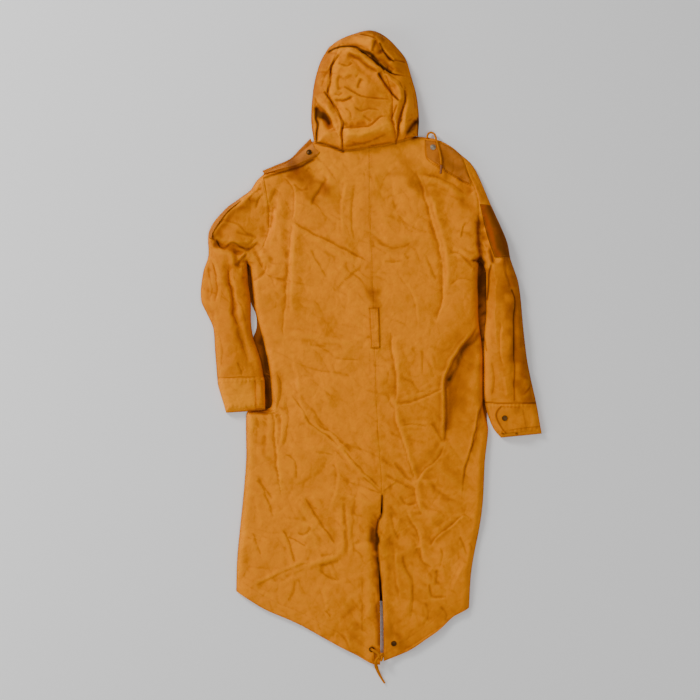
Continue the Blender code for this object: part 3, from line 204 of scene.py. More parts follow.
# How far across the flattened cord reaches from its middle, at shares of its length
HEM_CORD_HALVES = (
    (0, 2.4), (0.1, 3.4), (0.28, 2.6), (0.4, 3.2), (0.58, 4.3), (0.7, 3.5), (0.84, 2.5), (1, 2.0),
)
CORD_RADIUS = 2.25
HOOD_CORD_HALVES = ((0, CORD_RADIUS), (1, CORD_RADIUS))
KNOT = (19.2, -1119.4, 17.6)


def pairs(numbers: Sequence[float]) -> Route:
    """The points of a path that is written as the X and Y of each point in turn."""
    return tuple(zip(numbers[::2], numbers[1::2]))


@dataclass(frozen=True)
class Crease:
    """A fold of the cloth in plan, in millimetres: a ridge, or a trough where its height is negative.

    A positive lean makes it steeper on the right of its path, and a negative one on the left. Fade is the
    share of its height that is left at its ends, and a greater power makes it flatter on top.
    """

    path: Route
    width: float
    height: float
    lean: float = 0.0
    fade: float = 0.0
    power: float = 1.3


@dataclass(frozen=True)
class Mark:
    """A soft mark along a path in plan: how wide it is in millimetres, and how strong."""

    path: Route
    width: float
    strength: float


def creases(rows: Sequence[tuple]) -> tuple[Crease, ...]:
    """Creases from rows: the width, the height and perhaps the lean and the fade, then the path's points."""
    return tuple(Crease(pairs(path), *shape) for shape, *path in rows)


def folds(power: int, rows: Sequence[tuple]) -> tuple[Crease, ...]:
    """Round folds from rows of the same kind, flatter on top with a greater power."""
    return tuple(replace(crease, power=power, fade=FOLD_FADE) for crease in creases(rows))


def marks(rows: Sequence[tuple]) -> tuple[Mark, ...]:
    """Marks from rows: the width and the strength, then the path's points."""
    return tuple(Mark(pairs(path), *shape) for shape, *path in rows)


# The largest folds, the same as in the solids
BODY_FOLDS = folds(2, (
    ((8, -4), -181, -78, -187, -160, -187, -254, -192, -397),
    ((14, 4), -170, -100, -172, -250, -178, -380),
    ((8, -4), 103, -58, 117, -104, 150, -229, 155, -278, 152, -333, 135, -380),
    ((14, 4), 122, -80, 165, -229, 170, -320),
    ((6, -3), -100, -58, -133, -122),
    ((8, 4), -188, -160, -93, -221, -31, -252),
    ((8, 5), 228, -243, 188, -230),
    ((8, -5), -268, -291, -233, -270, -218, -236),
    ((9, -7), 190, -62, 222, -98),
    ((8, 4), -192, -404, -49, -431),
    ((8, 3), 55, -556, 161, -528),
    ((7, 3), 62, -612, 128, -603),
    ((11, 7, 0.35), -172, -541, -135, -605, -88, -634, -27, -706, 18, -754),
    ((10, 7, 0.3), 46, -552, 60, -609, 80, -684, 97, -739),
    ((8, 5), 97, -739, 158, -651),
    ((8, 4), 97, -739, 145, -734),
    ((8, 5), 97, -739, 106, -803),
    ((9, 5), 127, -862, 165, -829, 200, -807, 240, -815),
    ((8, 4), 101, -849, 127, -922, 140, -935),
    ((10, 5), -137, -765, -110, -807, -77, -866),
    ((7, 3), -205, -820, -137, -829),
    ((9, 5), -259, -961, -174, -925, -123, -912, -68, -892),
)) + folds(4, (
    ((14, -6), -262, -420, -252, -470, -246, -550, -245, -620, -248, -690),
    ((20, -7), 240, -300, 238, -390, 220, -455, 200, -500, 198, -600),
)) + folds(2, (
    ((8, 6), 246, -555, 228, -635, 213, -686),
    ((9, 4), 32, -800, 26, -850, 28, -920, 31, -1060),
    ((8, -3), 8, -800, 1, -850, 3, -920, 6, -1060),
))
SLEEVE_FOLDS = folds(2, (
    ((34, 22), -262, -110, -305, -180, -312, -290, -309, -420, -300, -540),
    ((8, -20), -352, -208, -318, -218, -284, -232),
    ((7, -12), -302, -222, -294, -252, -286, -262),
    ((8, -11), -320, -222, -318, -276, -306, -325, -300, -372, -270, -468),
)) + folds(4, (
    ((13, -12), -368, -262, -370, -330, -357, -385),
)) + folds(2, (
    ((10, -6), -196, -52, -222, -150, -246, -204),
    ((34, 20), 228, -70, 275, -190, 290, -330, 296, -460, 316, -590),
)) + folds(3, (
    ((13, -26), 240, -150, 246, -200, 250, -262),
)) + folds(2, (
    ((8, -6), 312, -322, 316, -342, 314, -401, 312, -538, 314, -560),
    ((7, 6), 347, -478, 347, -533, 330, -553),
))
HOOD_FOLDS = folds(2, (
    ((8, -20), -95, 224, -66, 228, -36, 224, 4, 198, 43, 169, 82, 163),
    ((10, 10), -60, 211, -52, 209, 16, 158),
    ((10, -8), -49, 190, 2, 148, 54, 102),
    ((8, -6), -90, 169, -97, 124, -84, 89, -66, 20),
    ((8, -6), 30, 160, 43, 117, 44, 65, 52, 18),
    ((7, -10), 73, 128, 62, 70, 56, 20),
    ((11, -22), -124, 98, -106, 70, -88, 42),
    ((9, -18), 86, 68, 100, 40),
    ((8, -8), -66, 48, -11, 52),
    ((8, 6), -58, 14, -5, 24, 36, 40),
))

# The finer creases, sharper than the folds above and only in the looks
BODY_CREASES = creases((
    ((4, -2.6, -0.4), -195, -60, -177, -84, -174, -128, -178, -160),
    ((3.5, -2.2, -0.5), -178, -160, -181, -210, -186, -254, -190, -313, -195, -372, -198, -420),
    ((5, 1.8), -170, -165, -174, -254, -180, -372),
    ((4, -2.6, 0.4), -178, -160, -136, -184, -77, -213, -32, -237, -9, -249),
    ((3, -1.1), -138, -222, -118, -255, -100, -287),
    ((3, -1.2), -21, -254, -47, -278, -80, -308),
    ((3, -2.4, 0.5), -100, -63, -121, -98, -136, -125),
    ((3, -1.4), -136, -39, -147, -51),
    ((3.5, -1.8), -174, -78, -156, -90, -141, -90),
    ((5, 2), -56, -70, -66, -130, -64, -190),
    ((4, -1.4), -40, -75, -46, -150, -38, -205),
    ((5, -3, -0.3), -218, -125, -224, -163, -236, -190, -245, -204),
    ((5, -2.6), -212, -86, -224, -113, -227, -143),
    ((7, 2.6), -198, -72, -209, -113, -212, -166, -225, -215),
    ((3, -2, 0.4), -262, -225, -254, -243, -242, -266),
    ((3, -2, -0.4), -232, -250, -240, -276, -266, -293),
    ((5, 2.2), -248, -232, -236, -262),
    ((3.6, -3, -0.55), 97, -49, 108, -77, 117, -111, 131, -159, 142, -198, 154, -246),
    ((3.6, -2.6, -0.5), 154, -246, 155, -291, 154, -330, 142, -378),
    ((5, 2.2), 124, -80, 146, -158, 166, -240, 164, -320),
    ((6, 2.6), 114, -77, 142, -74, 170, -88, 187, -102, 207, -105),
    ((6, -3.2, 0.3), 102, -56, 130, -58, 162, -70, 196, -92, 216, -108),
    ((3, -2, 0.5), 207, -159, 201, -173, 196, -198),
    ((4, -2.4, 0.4), 165, -232, 187, -229, 213, -252, 232, -271),
    ((5, 2.4), 176, -222, 200, -226, 226, -256),
    ((5, -2.2), 117, -232, 131, -268, 142, -291),
    ((3, -1.2), 27, -249, 69, -249),
    ((4, -1.2), 2, -190, 30, -215, 66, -218, 94, -201),
    ((3, -1), 70, -230, 80, -246),
    ((4, -1.4), 170, -300, 196, -285, 228, -292),
    ((4, 1.6), 60, -270, 96, -330, 104, -390),
    ((3, -1.2), 110, -440, 111, -498),
    ((4.4, -3, 0.45), -178, -542, -156, -572, -134, -608, -98, -634, -68, -659),
    ((4.4, -3.2, 0.45), -68, -659, -39, -692, -10, -722, 16, -747),
    ((3.6, -1.8), -128, -604, -82, -632, -46, -672),
    ((4, -3.2, -0.5), 40, -400, 43, -444, 50, -487, 54, -524, 49, -557),
    ((4.6, -3.4, -0.45), 49, -557, 50, -597, 63, -634, 78, -681, 94, -736),
    ((6, 2.4), 52, -410, 58, -490, 60, -550),
    ((3.2, -2.6, 0.4), 52, -561, 93, -557, 129, -542, 158, -528),
    ((3, -1.8, 0.3), 60, -612, 93, -608, 122, -612),
    ((5, -6, 0.75), 240, -384, 226, -402, 208, -426, 195, -444, 177, -473, 162, -509, 164, -553, 162, -612,
     158, -652),
    ((5, 3), 220, -400, 188, -444, 170, -473, 156, -512, 157, -560, 154, -640),
    ((4, -4.5, 0.7, 0.3), 243, -559, 237, -585, 228, -624, 219, -662, 206, -707, 200, -744),
    ((3.6, -2.4, 0.4), 94, -736, 118, -706, 150, -676, 158, -652),
    ((3, -2), 28, -718, 60, -738, 86, -752),
    ((3, -1.8), 48, -692, 72, -724, 92, -738),
    ((3.6, -1.6, 0.4), 129, -604, 145, -628, 158, -652),
    ((4, -4.5, -0.7, 0.5), -223, -566, -218, -600, -214, -640, -212, -690, -205, -735),
    ((4, -3, -0.4), -206, -575, -203, -620, -208, -660),
    ((5, 2.6), -232, -440, -217, -524, -208, -600),
    ((6, -3.4, 0.3), -211, -487, -200, -531, -211, -583, -215, -634),
    ((7, 2.4), -178, -451, -164, -502, -156, -561, -142, -597),
    ((5, -2.2), -190, -545, -186, -600, -196, -660),
    ((3.6, -1.6), -196, -672, -170, -690, -168, -730),
    ((3, -1.2), -262, -612, -266, -678),
    ((4, -1.8), -255, -729, -236, -752, -219, -773),
    ((3, -1), -122, -418, -80, -424),
    ((3, -1.2), -83, -462, -25, -465),
    ((3, -1.1), -140, -434, -100, -436),
    ((3, -1), -126, -668, -84, -676),
    ((5, 1.8), -80, -680, -74, -740, -92, -790),
    ((4, -1.8), -254, -718, -227, -786, -216, -816),
    ((4.6, -3.4, 0.5), -150, -768, -133, -795, -112, -827, -94, -851, -82, -875),
    ((7, 2.2), -162, -778, -128, -830, -100, -870),
    ((4, -2.6, 0.5), -198, -839, -186, -863, -177, -892, -168, -916),
    ((3, -2, 0.4), -186, -857, -159, -869, -144, -878),
    ((3, -1.6), -166, -846, -148, -850, -133, -834),
    ((3.6, -2.6, -0.4), -257, -964, -227, -949, -192, -931, -159, -919, -136, -910),
    ((3, -2.2, -0.4), -118, -919, -96, -914, -73, -906),
    ((3, -1.6), -114, -898, -92, -896, -76, -892),
    ((4, -1.8), -263, -848, -248, -887, -245, -898),
    ((3.6, -1.6), -118, -928, -94, -946, -70, -952),
    ((3, -2.2), -103, -1019, -98, -1026, -92, -1034),
    ((5, 1.6), -110, -960, -102, -1000, -96, -1040),
    ((4, -1.4), -166, -948, -176, -980, -186, -1000),
    ((4, 1.6), -64, -898, -66, -820, -68, -770),
    ((3.6, -1.3), -54, -902, -57, -830, -60, -780),
    ((4, -1.3), -36, -760, -44, -830, -40, -900),
    ((3.6, -2.6, -0.4), 92, -742, 97, -776, 111, -810),
    ((3.4, -2.2), 60, -766, 78, -786, 100, -776),
    ((4.4, -3, -0.4), 75, -796, 86, -824, 103, -855, 106, -878),
    ((4.4, -2.8, -0.4), 106, -878, 111, -906, 131, -926),
    ((4, -3.4, 0.5), 128, -875, 142, -855, 171, -833, 193, -813, 202, -807, 216, -816),
    ((3, -1.8), 193, -855, 202, -880, 210, -900),
    ((4, -2.4), 142, -928, 142, -965),
    ((3.6, -2.6, 0.4), 126, -957, 131, -985, 142, -990, 168, -988),
    ((6, 2.6), 204, -912, 190, -944, 176, -974),
    ((6, -2.8, 0.5), 69, -889, 72, -923, 86, -945, 89, -985, 86, -1041),
    ((4, -1.6), 150, -880, 156, -900, 148, -925),
    ((3.6, -1.6), 214, -870, 226, -892),
    ((4, -1.4), 118, -1000, 124, -1030, 112, -1056),
    ((3.6, -1.4), 40, -800, 48, -840, 60, -866),
    ((4, 1.6), 52, -880, 56, -940, 64, -1000),
    ((3, -1.4), 150, -1010, 164, -1030, 160, -1044),
))
SLEEVE_CREASES = creases((
    ((3, -2.4, 0.3), -242, -84, -259, -98, -274, -113),
    ((3, -2), -236, -96, -248, -110, -256, -132),
    ((3, -1.8), -246, -76, -252, -92),
    ((5, -4, 0.4), -357, -193, -336, -210, -324, -225),
    ((4.6, -4.6, 0.45), -318, -252, -315, -278, -309, -331, -304, -372, -292, -396),
    ((6, 3), -308, -262, -300, -320, -290, -380),
    ((4, -4, -0.4), -315, -210, -289, -216, -274, -222, -248, -204),
    ((6, 3.4), -318, -203, -290, -208, -264, -206),
    ((3.4, -4, 0.4), -274, -231, -289, -243, -304, -257),
    ((3.4, -3, -0.4), -283, -243, -274, -278, -268, -308),
    ((5, 2.6), -290, -250, -284, -284),
    ((4.6, -4, -0.5), -357, -243, -345, -278, -342, -308, -348, -340),
    ((6, 3), -349, -240, -336, -280, -334, -310, -338, -350),
    ((3.4, -2.4), -365, -258, -354, -300, -357, -330),
    ((4, -2, 0.3), -357, -178, -327, -160, -304, -163, -277, -184, -248, -204),
    ((3, -1.6), -301, -184, -276, -190, -256, -200),
    ((5, -2.4, 0.4), -300, -392, -284, -440, -272, -470),
    ((4, -2), -340, -400, -330, -440, -332, -486),
    ((3, -1.6), -300, -330, -286, -350, -278, -384),
    ((3, -1.6), -296, -470, -288, -492, -290, -500),
    ((3, -2.4, 0.5), 307, -311, 314, -336, 311, -378, 313, -460),
    ((5, -3, 0.4), 290, -238, 298, -282, 306, -310),
    ((6, 3), 268, -249, 272, -300, 270, -378, 276, -450),
    ((4, -2.4, -0.3), 283, -380, 280, -430, 286, -480),
    ((4, -2.6), 330, -330, 336, -390, 340, -440),
    ((3.6, -2.4, 0.4), 352, -470, 350, -520, 332, -546),
    ((3.6, -2), 264, -470, 270, -510, 262, -545),
    ((4, 2), 290, -500, 296, -548),
    ((3.4, -2), 238, -153, 232, -190, 235, -229),
    ((3, -2.4), 221, -249, 246, -240),
    ((3, 2.4), 244, -198, 255, -235, 255, -288, 252, -330),
    ((4, -2), 212, -40, 232, -80, 250, -118),
    ((3, -1.6), 262, -130, 280, -170, 292, -200),
    ((3, -1.2), 290, -180, 292, -215),
))
HOOD_CREASES = creases((
    ((6, 3.4), -60, 214, -35, 203, -6, 187, 10, 172, 18, 157),
    ((5, -7, -0.5), -52, 206, -23, 188, -8, 176, 9, 165, 17, 159),
    ((4, -8, 0.4), 11, 161, 25, 143, 40, 124, 50, 111, 57, 102),
    ((6, 4), 22, 166, 40, 148, 56, 134, 66, 118),
    ((3, -3.4, 0.3), 25, 167, 54, 149, 71, 128),
    ((3.4, -6, 0.4, 0.3), 71, 128, 71, 101, 65, 82, 59, 62, 56, 33, 53, 8),
    ((3, -3.6, -0.3), 53, 92, 46, 72, 44, 62, 48, 51, 50, 15),
    ((3.4, -6, 0.5, 0.3), -72, 204, -83, 188, -91, 174, -91, 160, -91, 143, -97, 120),
    ((3.4, -6, 0.4, 0.3), -104, 122, -95, 109, -87, 97, -77, 82, -68, 64, -64, 52, -67, 33, -66, 3),
    ((4.5, -12, -0.9, 0.2), -127, 114, -114, 91, -100, 72, -89, 55, -79, 36),
    ((5, 3), -120, 118, -105, 96, -93, 76, -80, 54),
    ((3, -6, 0.3, 0.3), -123, 95, -123, 72, -121, 53, -122, 41, -124, 14),
    ((4, -4.8, 0.6), -67, 41, -43, 43, -14, 45, 0, 51, 15, 64, 26, 67),
    ((6, -4, 0.3), -64, 4, -33, 8, 2, 18, 30, 29),
    ((7, 4), -60, 24, -20, 28, 16, 42, 42, 52),
    ((3, -3, 0.3), -62, 132, -43, 120, -23, 111, 6, 107, 36, 104),
    ((3.6, -4.4, -0.4), -82, 103, -62, 101, -43, 111),
    ((4, -3.2, 0.4), -25, 151, -33, 128),
    ((5, -3.2, 0.4), -72, 158, -76, 140, -72, 122),
    ((6, 2.6), -66, 150, -50, 162, -34, 156),
    ((3, -2.4, 0.3), -76, 184, -56, 178, -44, 184),
    ((3, -2.2), -84, 116, -74, 112, -66, 118),
    ((3, -2.2), -20, 69, -10, 61, -2, 57),
    ((3, -1.8), -62, 84, -50, 76, -44, 60),
    ((3, -2.2), -40, 88, -24, 80, -6, 84, 16, 78),
    ((6, -10, 0.3, 0.2), 98, 66, 87, 47, 76, 31),
    ((4, 6), 90, 42, 98, 32, 88, 24),
    ((3.4, -5, 0.4), -27, 254, -8, 246, 7, 239),
    ((4, 4, -0.6), 4, 238, 0, 224, -5, 209),
    ((5, -5, -0.5), 8, 238, 14, 224, 22, 204),
    ((4, -8, -0.3), 20, 217, 32, 201, 44, 190),
    ((3, -3), 47, 192, 60, 191, 77, 193),
    ((3.6, -6), 31, 174, 42, 168, 47, 175),
    ((4, -3, 0.3), -88, 176, -102, 160, -112, 132),
    ((5, 2.6), -108, 186, -116, 150, -112, 120),
    ((4, -2.6, 0.3), 84, 150, 92, 118, 94, 86),
))


# How far the left panel goes on under the right one at each level of the vent
VENT_LAP = (
    (-1139, -1.0), (-1100, -0.5), (-960, 0.0), (-930, 3.0), (-900, 9.0), (-860, 11.0), (-820, 8.0),
    (-800, 0.0), (-768, 0.0),
)
# Where the cloth is stained, and where shade and light are painted on it, darker or paler
STAINS = marks((
    ((17, 0.85), -178, -48, -150, -60, -118, -78),
    ((12, 0.5), -165, -92, -128, -104, -104, -92),
    ((15, 0.5), 60, -12, 88, -40, 110, -88),
    ((9, 0.45), 40, -60, 66, -52, 84, -72),
    ((9, 0.4), 2, -192, 30, -215, 66, -218, 98, -201),
    ((13, 0.3), -8, -20, -7, -160, 0, -330),
    ((9, 0.6), 5, -350, 7, -318),
    ((20, 0.5), 44, -1052, 66, -1096),
    ((16, 0.35), -60, -1000, -40, -1080),
    ((14, 0.35), 206, -100, 226, -150, 236, -200),
    ((12, 0.35), -214, -500, -208, -560),
    ((26, 0.3), -30, 70, 10, 120),
    ((16, 0.4), -180, -24, -140, -8),
    ((10, 0.4), 150, -20, 190, -40),
))
# Painted shade and light: dark marks in the vent slit, gaps, cavities, creases and under edges, paler ones on
# faces turned to the light
PAINTED_SHADING_MARKS = marks((
    ((2.6, -2), 22, -766, 21, -804, 13, -826, 11, -850, 13, -900, 17, -945, 20, -995, 22, -1105),
    ((8, -1.5), 6, -840, 4, -862, 8, -884),
    ((4.5, -1.3), 9, -905, 12, -950, 13, -995, 15, -1095),
    ((6, -1.6), -268, -581, -232, -577),
    ((6, -1), 232, -408, 213, -430, 196, -455, 184, -482, 170, -510),
    ((8, -0.7), 170, -510, 170, -550, 167, -615),
    ((18, -0.5), 222, -440, 196, -500, 190, -560),
    ((4, -0.9), 247, -562, 240, -590, 231, -626, 222, -664),
    ((5, -2), 236, -240, 243, -262, 242, -292),
    ((7, -0.6), 242, -302, 244, -316),
    ((8, 0.5), 248, -372, 249, -430, 250, -545),
    ((1.5, -1.3), 240, -350, 246, -358, 251, -374, 248, -392),
    ((1.5, -1.2), 242, -404, 249, -422, 253, -446),
    ((4.5, -1.2), 233, -150, 234, -190, 237, -225, 246, -250),
    ((2.2, -1.3), 261, -258, 257.5, -285, 258.5, -310, 255.5, -332),
    ((10, -0.85), -262, -118, -290, -136, -316, -160, -336, -184, -344, -202),
    ((1.8, -1.4), -342, -203, -336, -216, -326, -218, -312, -208, -300, -210, -288, -218, -273, -221),
    ((3.5, -1.4), 2, -1102, 5, -1112, 5, -1122, 3, -1132),
    ((1.2, -0.55), -22, -946, -23, -1000, -22, -1064),
    ((9, -0.4), -113, -806, -104, -826, -88, -852),
    ((12, -0.35), 152, -652, 132, -676, 112, -700),
    ((13, -0.3), 128, -748, 176, -778),
    ((11, -0.3), 48, -905, 54, -940, 52, -980),
    ((7, -0.35), 166, -838, 138, -868),
    ((13, 0.35), 150, -898, 186, -925),
    ((12, 0.35), -150, -806, -136, -850, -120, -880),
    ((11, 0.35), -214, -700, -206, -760),
    ((9, -0.35), -236, -640, -232, -690),
    ((1.6, -0.7), 20, -757, 2, -742, -20, -724),
    ((1.4, -0.6), 18, -759, -8, -751),
    ((1.6, -0.6), 25, -757, 38, -745, 52, -735),
    ((4, -1.4), 258, -224, 262, -238, 264, -250),
    ((3.4, -1.5), 222, -246, 244, -248),
    ((4, -1.5), -272, -262, -266, -300, -262, -340),
    ((6, -1.4), -246, -420, -236, -470, -229, -520, -229, -570),
    ((1.6, -0.9), 307, -311, 314, -336, 311, -378, 313, -460, 312, -555),
    ((1.6, -1.2), 284, -568, 275, -580, 274, -592, 282, -610, 296, -628),
    ((1.4, -0.9), -258, -506, -257, -576),
    ((1.3, -0.9), -343, -505, -258, -503),
    ((1.3, -1), 364, -560, 251, -560),
    ((1.1, -0.7), 371, -612, 304, -620),
    ((2.2, -1.7), 287, -628, 291, -629),
    ((2.2, -1.7), 317, -628, 320, -629),
    ((3.2, -1.7), -236, -62, -196, -51, -168, -44, -143, -34, -127, -27),
    ((1.5, -1), 217, -81, 205, -75, 174, -57, 148, -40, 121, -21, 117, 19),
    ((7, 1.3), 243, -125, 254, -165, 266, -206, 277, -240),
    ((1.4, -0.7), -5, -352, -1, -439),
    ((1.4, -0.7), 13.6, -352, 16.6, -439),
    ((1.6, -0.7), -5, -352, 14, -352),
    ((1.6, -0.7), -2, -438, 17, -438),
    ((3, -2.2), -95, 214, -75, 221, -60, 223, -35, 221, -23, 212, -8, 204, 6, 197, 17, 183, 31, 172, 42,
     166),
    ((3.4, -2.4), -24, 208, -8, 201, 4, 192, 13, 182, 24, 173),
    ((7, -1.1), -43, 204, -23, 187, -8, 176, 9, 165, 15, 158),
    ((2.4, -1.7), 13, 159, 25, 143, 40, 124, 50, 111, 56, 103),
    ((2.2, -1), 71, 126, 71, 101, 65, 82, 59, 62, 56, 33, 53, 10),
    ((2, -0.8), 53, 92, 46, 72, 44, 62, 48, 51),
    ((2.2, -1), -75, 201, -83, 188, -91, 174, -91, 160, -91, 143, -97, 122),
    ((2.2, -1), -103, 120, -95, 109, -87, 97, -77, 82, -68, 64, -64, 55, -67, 33, -66, 5),
    ((7, -1.9), -119, 91, -108, 72, -95, 52),
    ((2.6, -2), -122, 91, -123, 72, -121, 53, -122, 41, -124, 18),
    ((2.8, -0.8), -66, 42, -43, 44, -14, 46, 0, 52, 15, 65, 25, 67),
    ((6, -0.6), -62, 5, -33, 7, 2, 18, 27, 28),
    ((5, -1.7), 96, 62, 88, 47, 78, 33),
    ((3, -1.9), 101, 70, 102, 36),
    ((1.9, -1.9), 15, 229, 24, 213, 34, 198, 45, 190),
    ((9, -0.6), 8, 226, 20, 202, 36, 182),
    ((8, -0.7), -2, 257, 14, 252, 24, 240),
    ((2.2, -0.9), -25, 253, -8, 246, 6, 240),
    ((2.2, -0.7), -80, 103, -62, 101, -43, 111),
    ((1.8, -0.6), -61, 131, -43, 120, -23, 111, 6, 107, 34, 104),
    ((8, 0.7), -30, 240, -8, 228, -3, 216),
    ((4, 0.5), -50, 212, -20, 196, 2, 181, 14, 164),
    ((5, 0.7), -118, 108, -103, 86, -88, 64),
    ((8, 0.5), -50, 28, 0, 38, 36, 54),
    ((6, 0.5), 80, 100, 70, 44),
    ((3, -2), -124, 13, -95, 4.5, -77, -1, -62, -5),
    ((2.2, -0.9), -62, -5, -20, -1, 53, 12, 100, 27),
    ((150, -0.14), 130, -640, 140, -1000),
    ((34, -0.95), 290, -170, 322, -330, 350, -540),
    ((60, -0.25), -330, -150, -330, -480),
    ((34, -0.6), -40, 262, 10, 262, 62, 214),
    ((70, 0.3), -110, -30, 70, -20),
    ((30, 0.35), -300, -520, -280, -580),
    ((34, -0.7), -128, 60, -118, 140, -96, 200),
    ((50, -0.3), 238, -300, 200, -460, 190, -600),
))


class Slot(Enum):
    """The record's material slots."""

    COTTON = "cotton"
    PATCH = "patch_cotton"
    BRONZE = "bronze"
    LEATHER = "leather"


# ------------------------------------------------------------------ curves and grids in plan
def dense_curve(points: Route, per_span: int = 12) -> Grid:
    """A smooth curve through points.

    Args:
        points: the points that it passes through.
        per_span: how many points each span gets.

    Returns:
        The curve's points.
    """
    ends = np.array([points[0], *points, points[-1]], float)
    ends[0] = 2 * ends[1] - ends[2]
    ends[-1] = 2 * ends[-2] - ends[-3]
    steps = np.linspace(0, 1, per_span, endpoint=False)[:, None]
    spans = []
    for before, start, end, after in zip(ends, ends[1:], ends[2:], ends[3:]):
        reach = np.linalg.norm(end - start)
        leave = (end - before) / max(np.linalg.norm(end - before), TINY) * reach
        arrive = (after - start) / max(np.linalg.norm(after - start), TINY) * reach
        spans.append(
            start * (2 * steps**3 - 3 * steps**2 + 1)
            + leave * (steps**3 - 2 * steps**2 + steps)
            + end * (3 * steps**2 - 2 * steps**3)
            + arrive * (steps**3 - steps**2)
        )
    return np.vstack([*spans, ends[-2:-1]])


def reached(line: Grid) -> Grid:
    """The length of a line up to each of its points."""
    return np.concatenate([[0], np.cumsum(np.linalg.norm(np.diff(line, axis=0), axis=1))])


def whole_length(line: Grid) -> float:
    """The length of a line."""
    return float(np.linalg.norm(np.diff(line, axis=0), axis=1).sum())


def along_line(line: Grid, fractions: Sequence[float] | Grid) -> Grid:
    """Points at fractions, from 0 to 1, of the length of a line of many points."""
    lengths = reached(line)
    wanted = np.clip(fractions, 0, 1) * lengths[-1]
    return np.column_stack([np.interp(wanted, lengths, line[:, axis]) for axis in range(line.shape[1])])


def along(points: Route, fractions: Grid) -> Grid:
    """Points at fractions, from 0 to 1, of the length of a smooth curve through points."""
    return along_line(dense_curve(points) if len(points) > 2 else np.array(points, float), fractions)


def at_levels(points: Route, levels: Grid) -> Grid:
    """The points of a steadily falling curve at these values of Y."""
    dense = dense_curve(points)[::-1]
    return np.column_stack([np.interp(levels, dense[:, 1], dense[:, 0]), levels])


def even(count: int) -> Grid:
    """Fractions from 0 to 1 in equal steps."""
    return np.linspace(0, 1, count + 1)


def smooth_step(values: Grid) -> Grid:
    """An even rise from 0 to 1 with soft ends."""
    held = np.clip(values, 0, 1)
    return held * held * (3 - 2 * held)


def bell(away: Grid, width: float) -> Grid:
    """A round rise that is 1 in its middle and all but gone at twice its width."""
    return np.exp(-((away / width) ** 2))


def over(grid: Grid, worked_out: Callable[[Grid], Grid]) -> Grid:
    """What a function of places gives over a grid in plan, in the grid's rows and columns."""
    return worked_out(grid.reshape(-1, 2)).reshape(grid.shape[:2])


def near_to(places: Grid, route: Grid, reach: float) -> Grid:
    """The indices of the places in the box of a route, made larger by a reach on all sides."""
    low, high = route.min(axis=0) - reach, route.max(axis=0) + reach
    return np.flatnonzero(np.all((places > low) & (places < high), axis=1))


def path_distance(places: Grid, route: Grid) -> tuple[Grid, Grid, Grid]:
    """How places lie to a path.

    Args:
        places: the places in plan.
        route: the path's points.

    Returns:
        The distance to the path, the fraction of it at the nearest point, and the side: 1 on its right.
    """
    lengths, before = np.linalg.norm(np.diff(route, axis=0), axis=1), reached(route)
    best = np.full(len(places), np.inf)
    where = np.zeros(len(places))
    side = np.zeros(len(places))
    for start, end, length, done in zip(route, route[1:], lengths, before):
        if length < TINY:
            continue
        away_x, away_y = places[:, 0] - start[0], places[:, 1] - start[1]
        run_x, run_y = end - start
        share = np.clip((away_x * run_x + away_y * run_y) / length**2, 0, 1)
        away = np.hypot(away_x - share * run_x, away_y - share * run_y)
        nearer = away < best
        best = np.where(nearer, away, best)
        where = np.where(nearer, (done + share * length) / before[-1], where)
        side = np.where(nearer, np.sign(away_x * run_y - away_y * run_x), side)
    return best, where, side


def inside(places: Grid, ring: Grid) -> Grid:
    """Which places in plan lie within a closed ring of points."""
    found = np.zeros(len(places), bool)
    for (x0, y0), (x1, y1) in zip(ring, np.roll(ring, -1, axis=0)):
        if y0 == y1:
            continue
        crosses = (y0 > places[:, 1]) != (y1 > places[:, 1])
        found ^= crosses & (places[:, 0] < (x1 - x0) * (places[:, 1] - y0) / (y1 - y0) + x0)
    return found


def patch(left: Grid, right: Grid, bottom: Grid, top: Grid) -> Grid:
    """A grid in plan between four edges.

    Args:
        left: the first column's points.
        right: the last column's points.
        bottom: the first row's points.
        top: the last row's points.

    Returns:
        The grid: rows, columns, and X and Y.
    """
    rows = np.linspace(0, 1, len(left))[:, None, None]
    spans = np.linalg.norm(np.diff(bottom, axis=0), axis=1)
    columns = (np.concatenate([[0], np.cumsum(spans)]) / spans.sum())[None, :, None]
    across = (1 - columns) * left[:, None, :] + columns * right[:, None, :]
    lengthways = (1 - rows) * bottom[None, :, :] + rows * top[None, :, :]
    corners = (
        (1 - columns) * (1 - rows) * left[0]
        + columns * (1 - rows) * right[0]
        + (1 - columns) * rows * left[-1]
        + columns * rows * right[-1]
    )
    return across + lengthways - corners


def quad(outer: Route, inner: Route, rows: int, columns: int) -> Grid:
    """A grid between two long edges, with straight ends.

    Args:
        outer: the first column's curve.
        inner: the last column's curve.
        rows: how many steps it has along them.
        columns: how many steps it has across.

    Returns:
        The grid.
    """
    first, last = along(outer, even(rows)), along(inner, even(rows))
    ends = [along((first[row], last[row]), even(columns)) for row in (0, -1)]
    return patch(first, last, *ends)


# ------------------------------------------------------------------ how the cloth lies
class Cells:
    """Seeded values from -1 to 1 at the corners of square cells."""

    COUNT = 64

    def __init__(self, seed: int) -> None:
        """Draws the values from a seed."""
        self.values = np.random.default_rng(seed).uniform(-1, 1, (self.COUNT, self.COUNT))

    def corners(self, cell: Grid) -> tuple[Grid, list[Grid]]:
        """The values round each place.

        Args:
            cell: the places, in cells.

        Returns:
            How far each place is into its cell, and the values at its near, right, upper and far corner.
        """
        whole = np.floor(cell).astype(int)
        x0, y0 = (whole % self.COUNT).T
        x1, y1 = (x0 + 1) % self.COUNT, (y0 + 1) % self.COUNT
        return cell - whole, [self.values[x, y] for x, y in ((x0, y0), (x1, y0), (x0, y1), (x1, y1))]


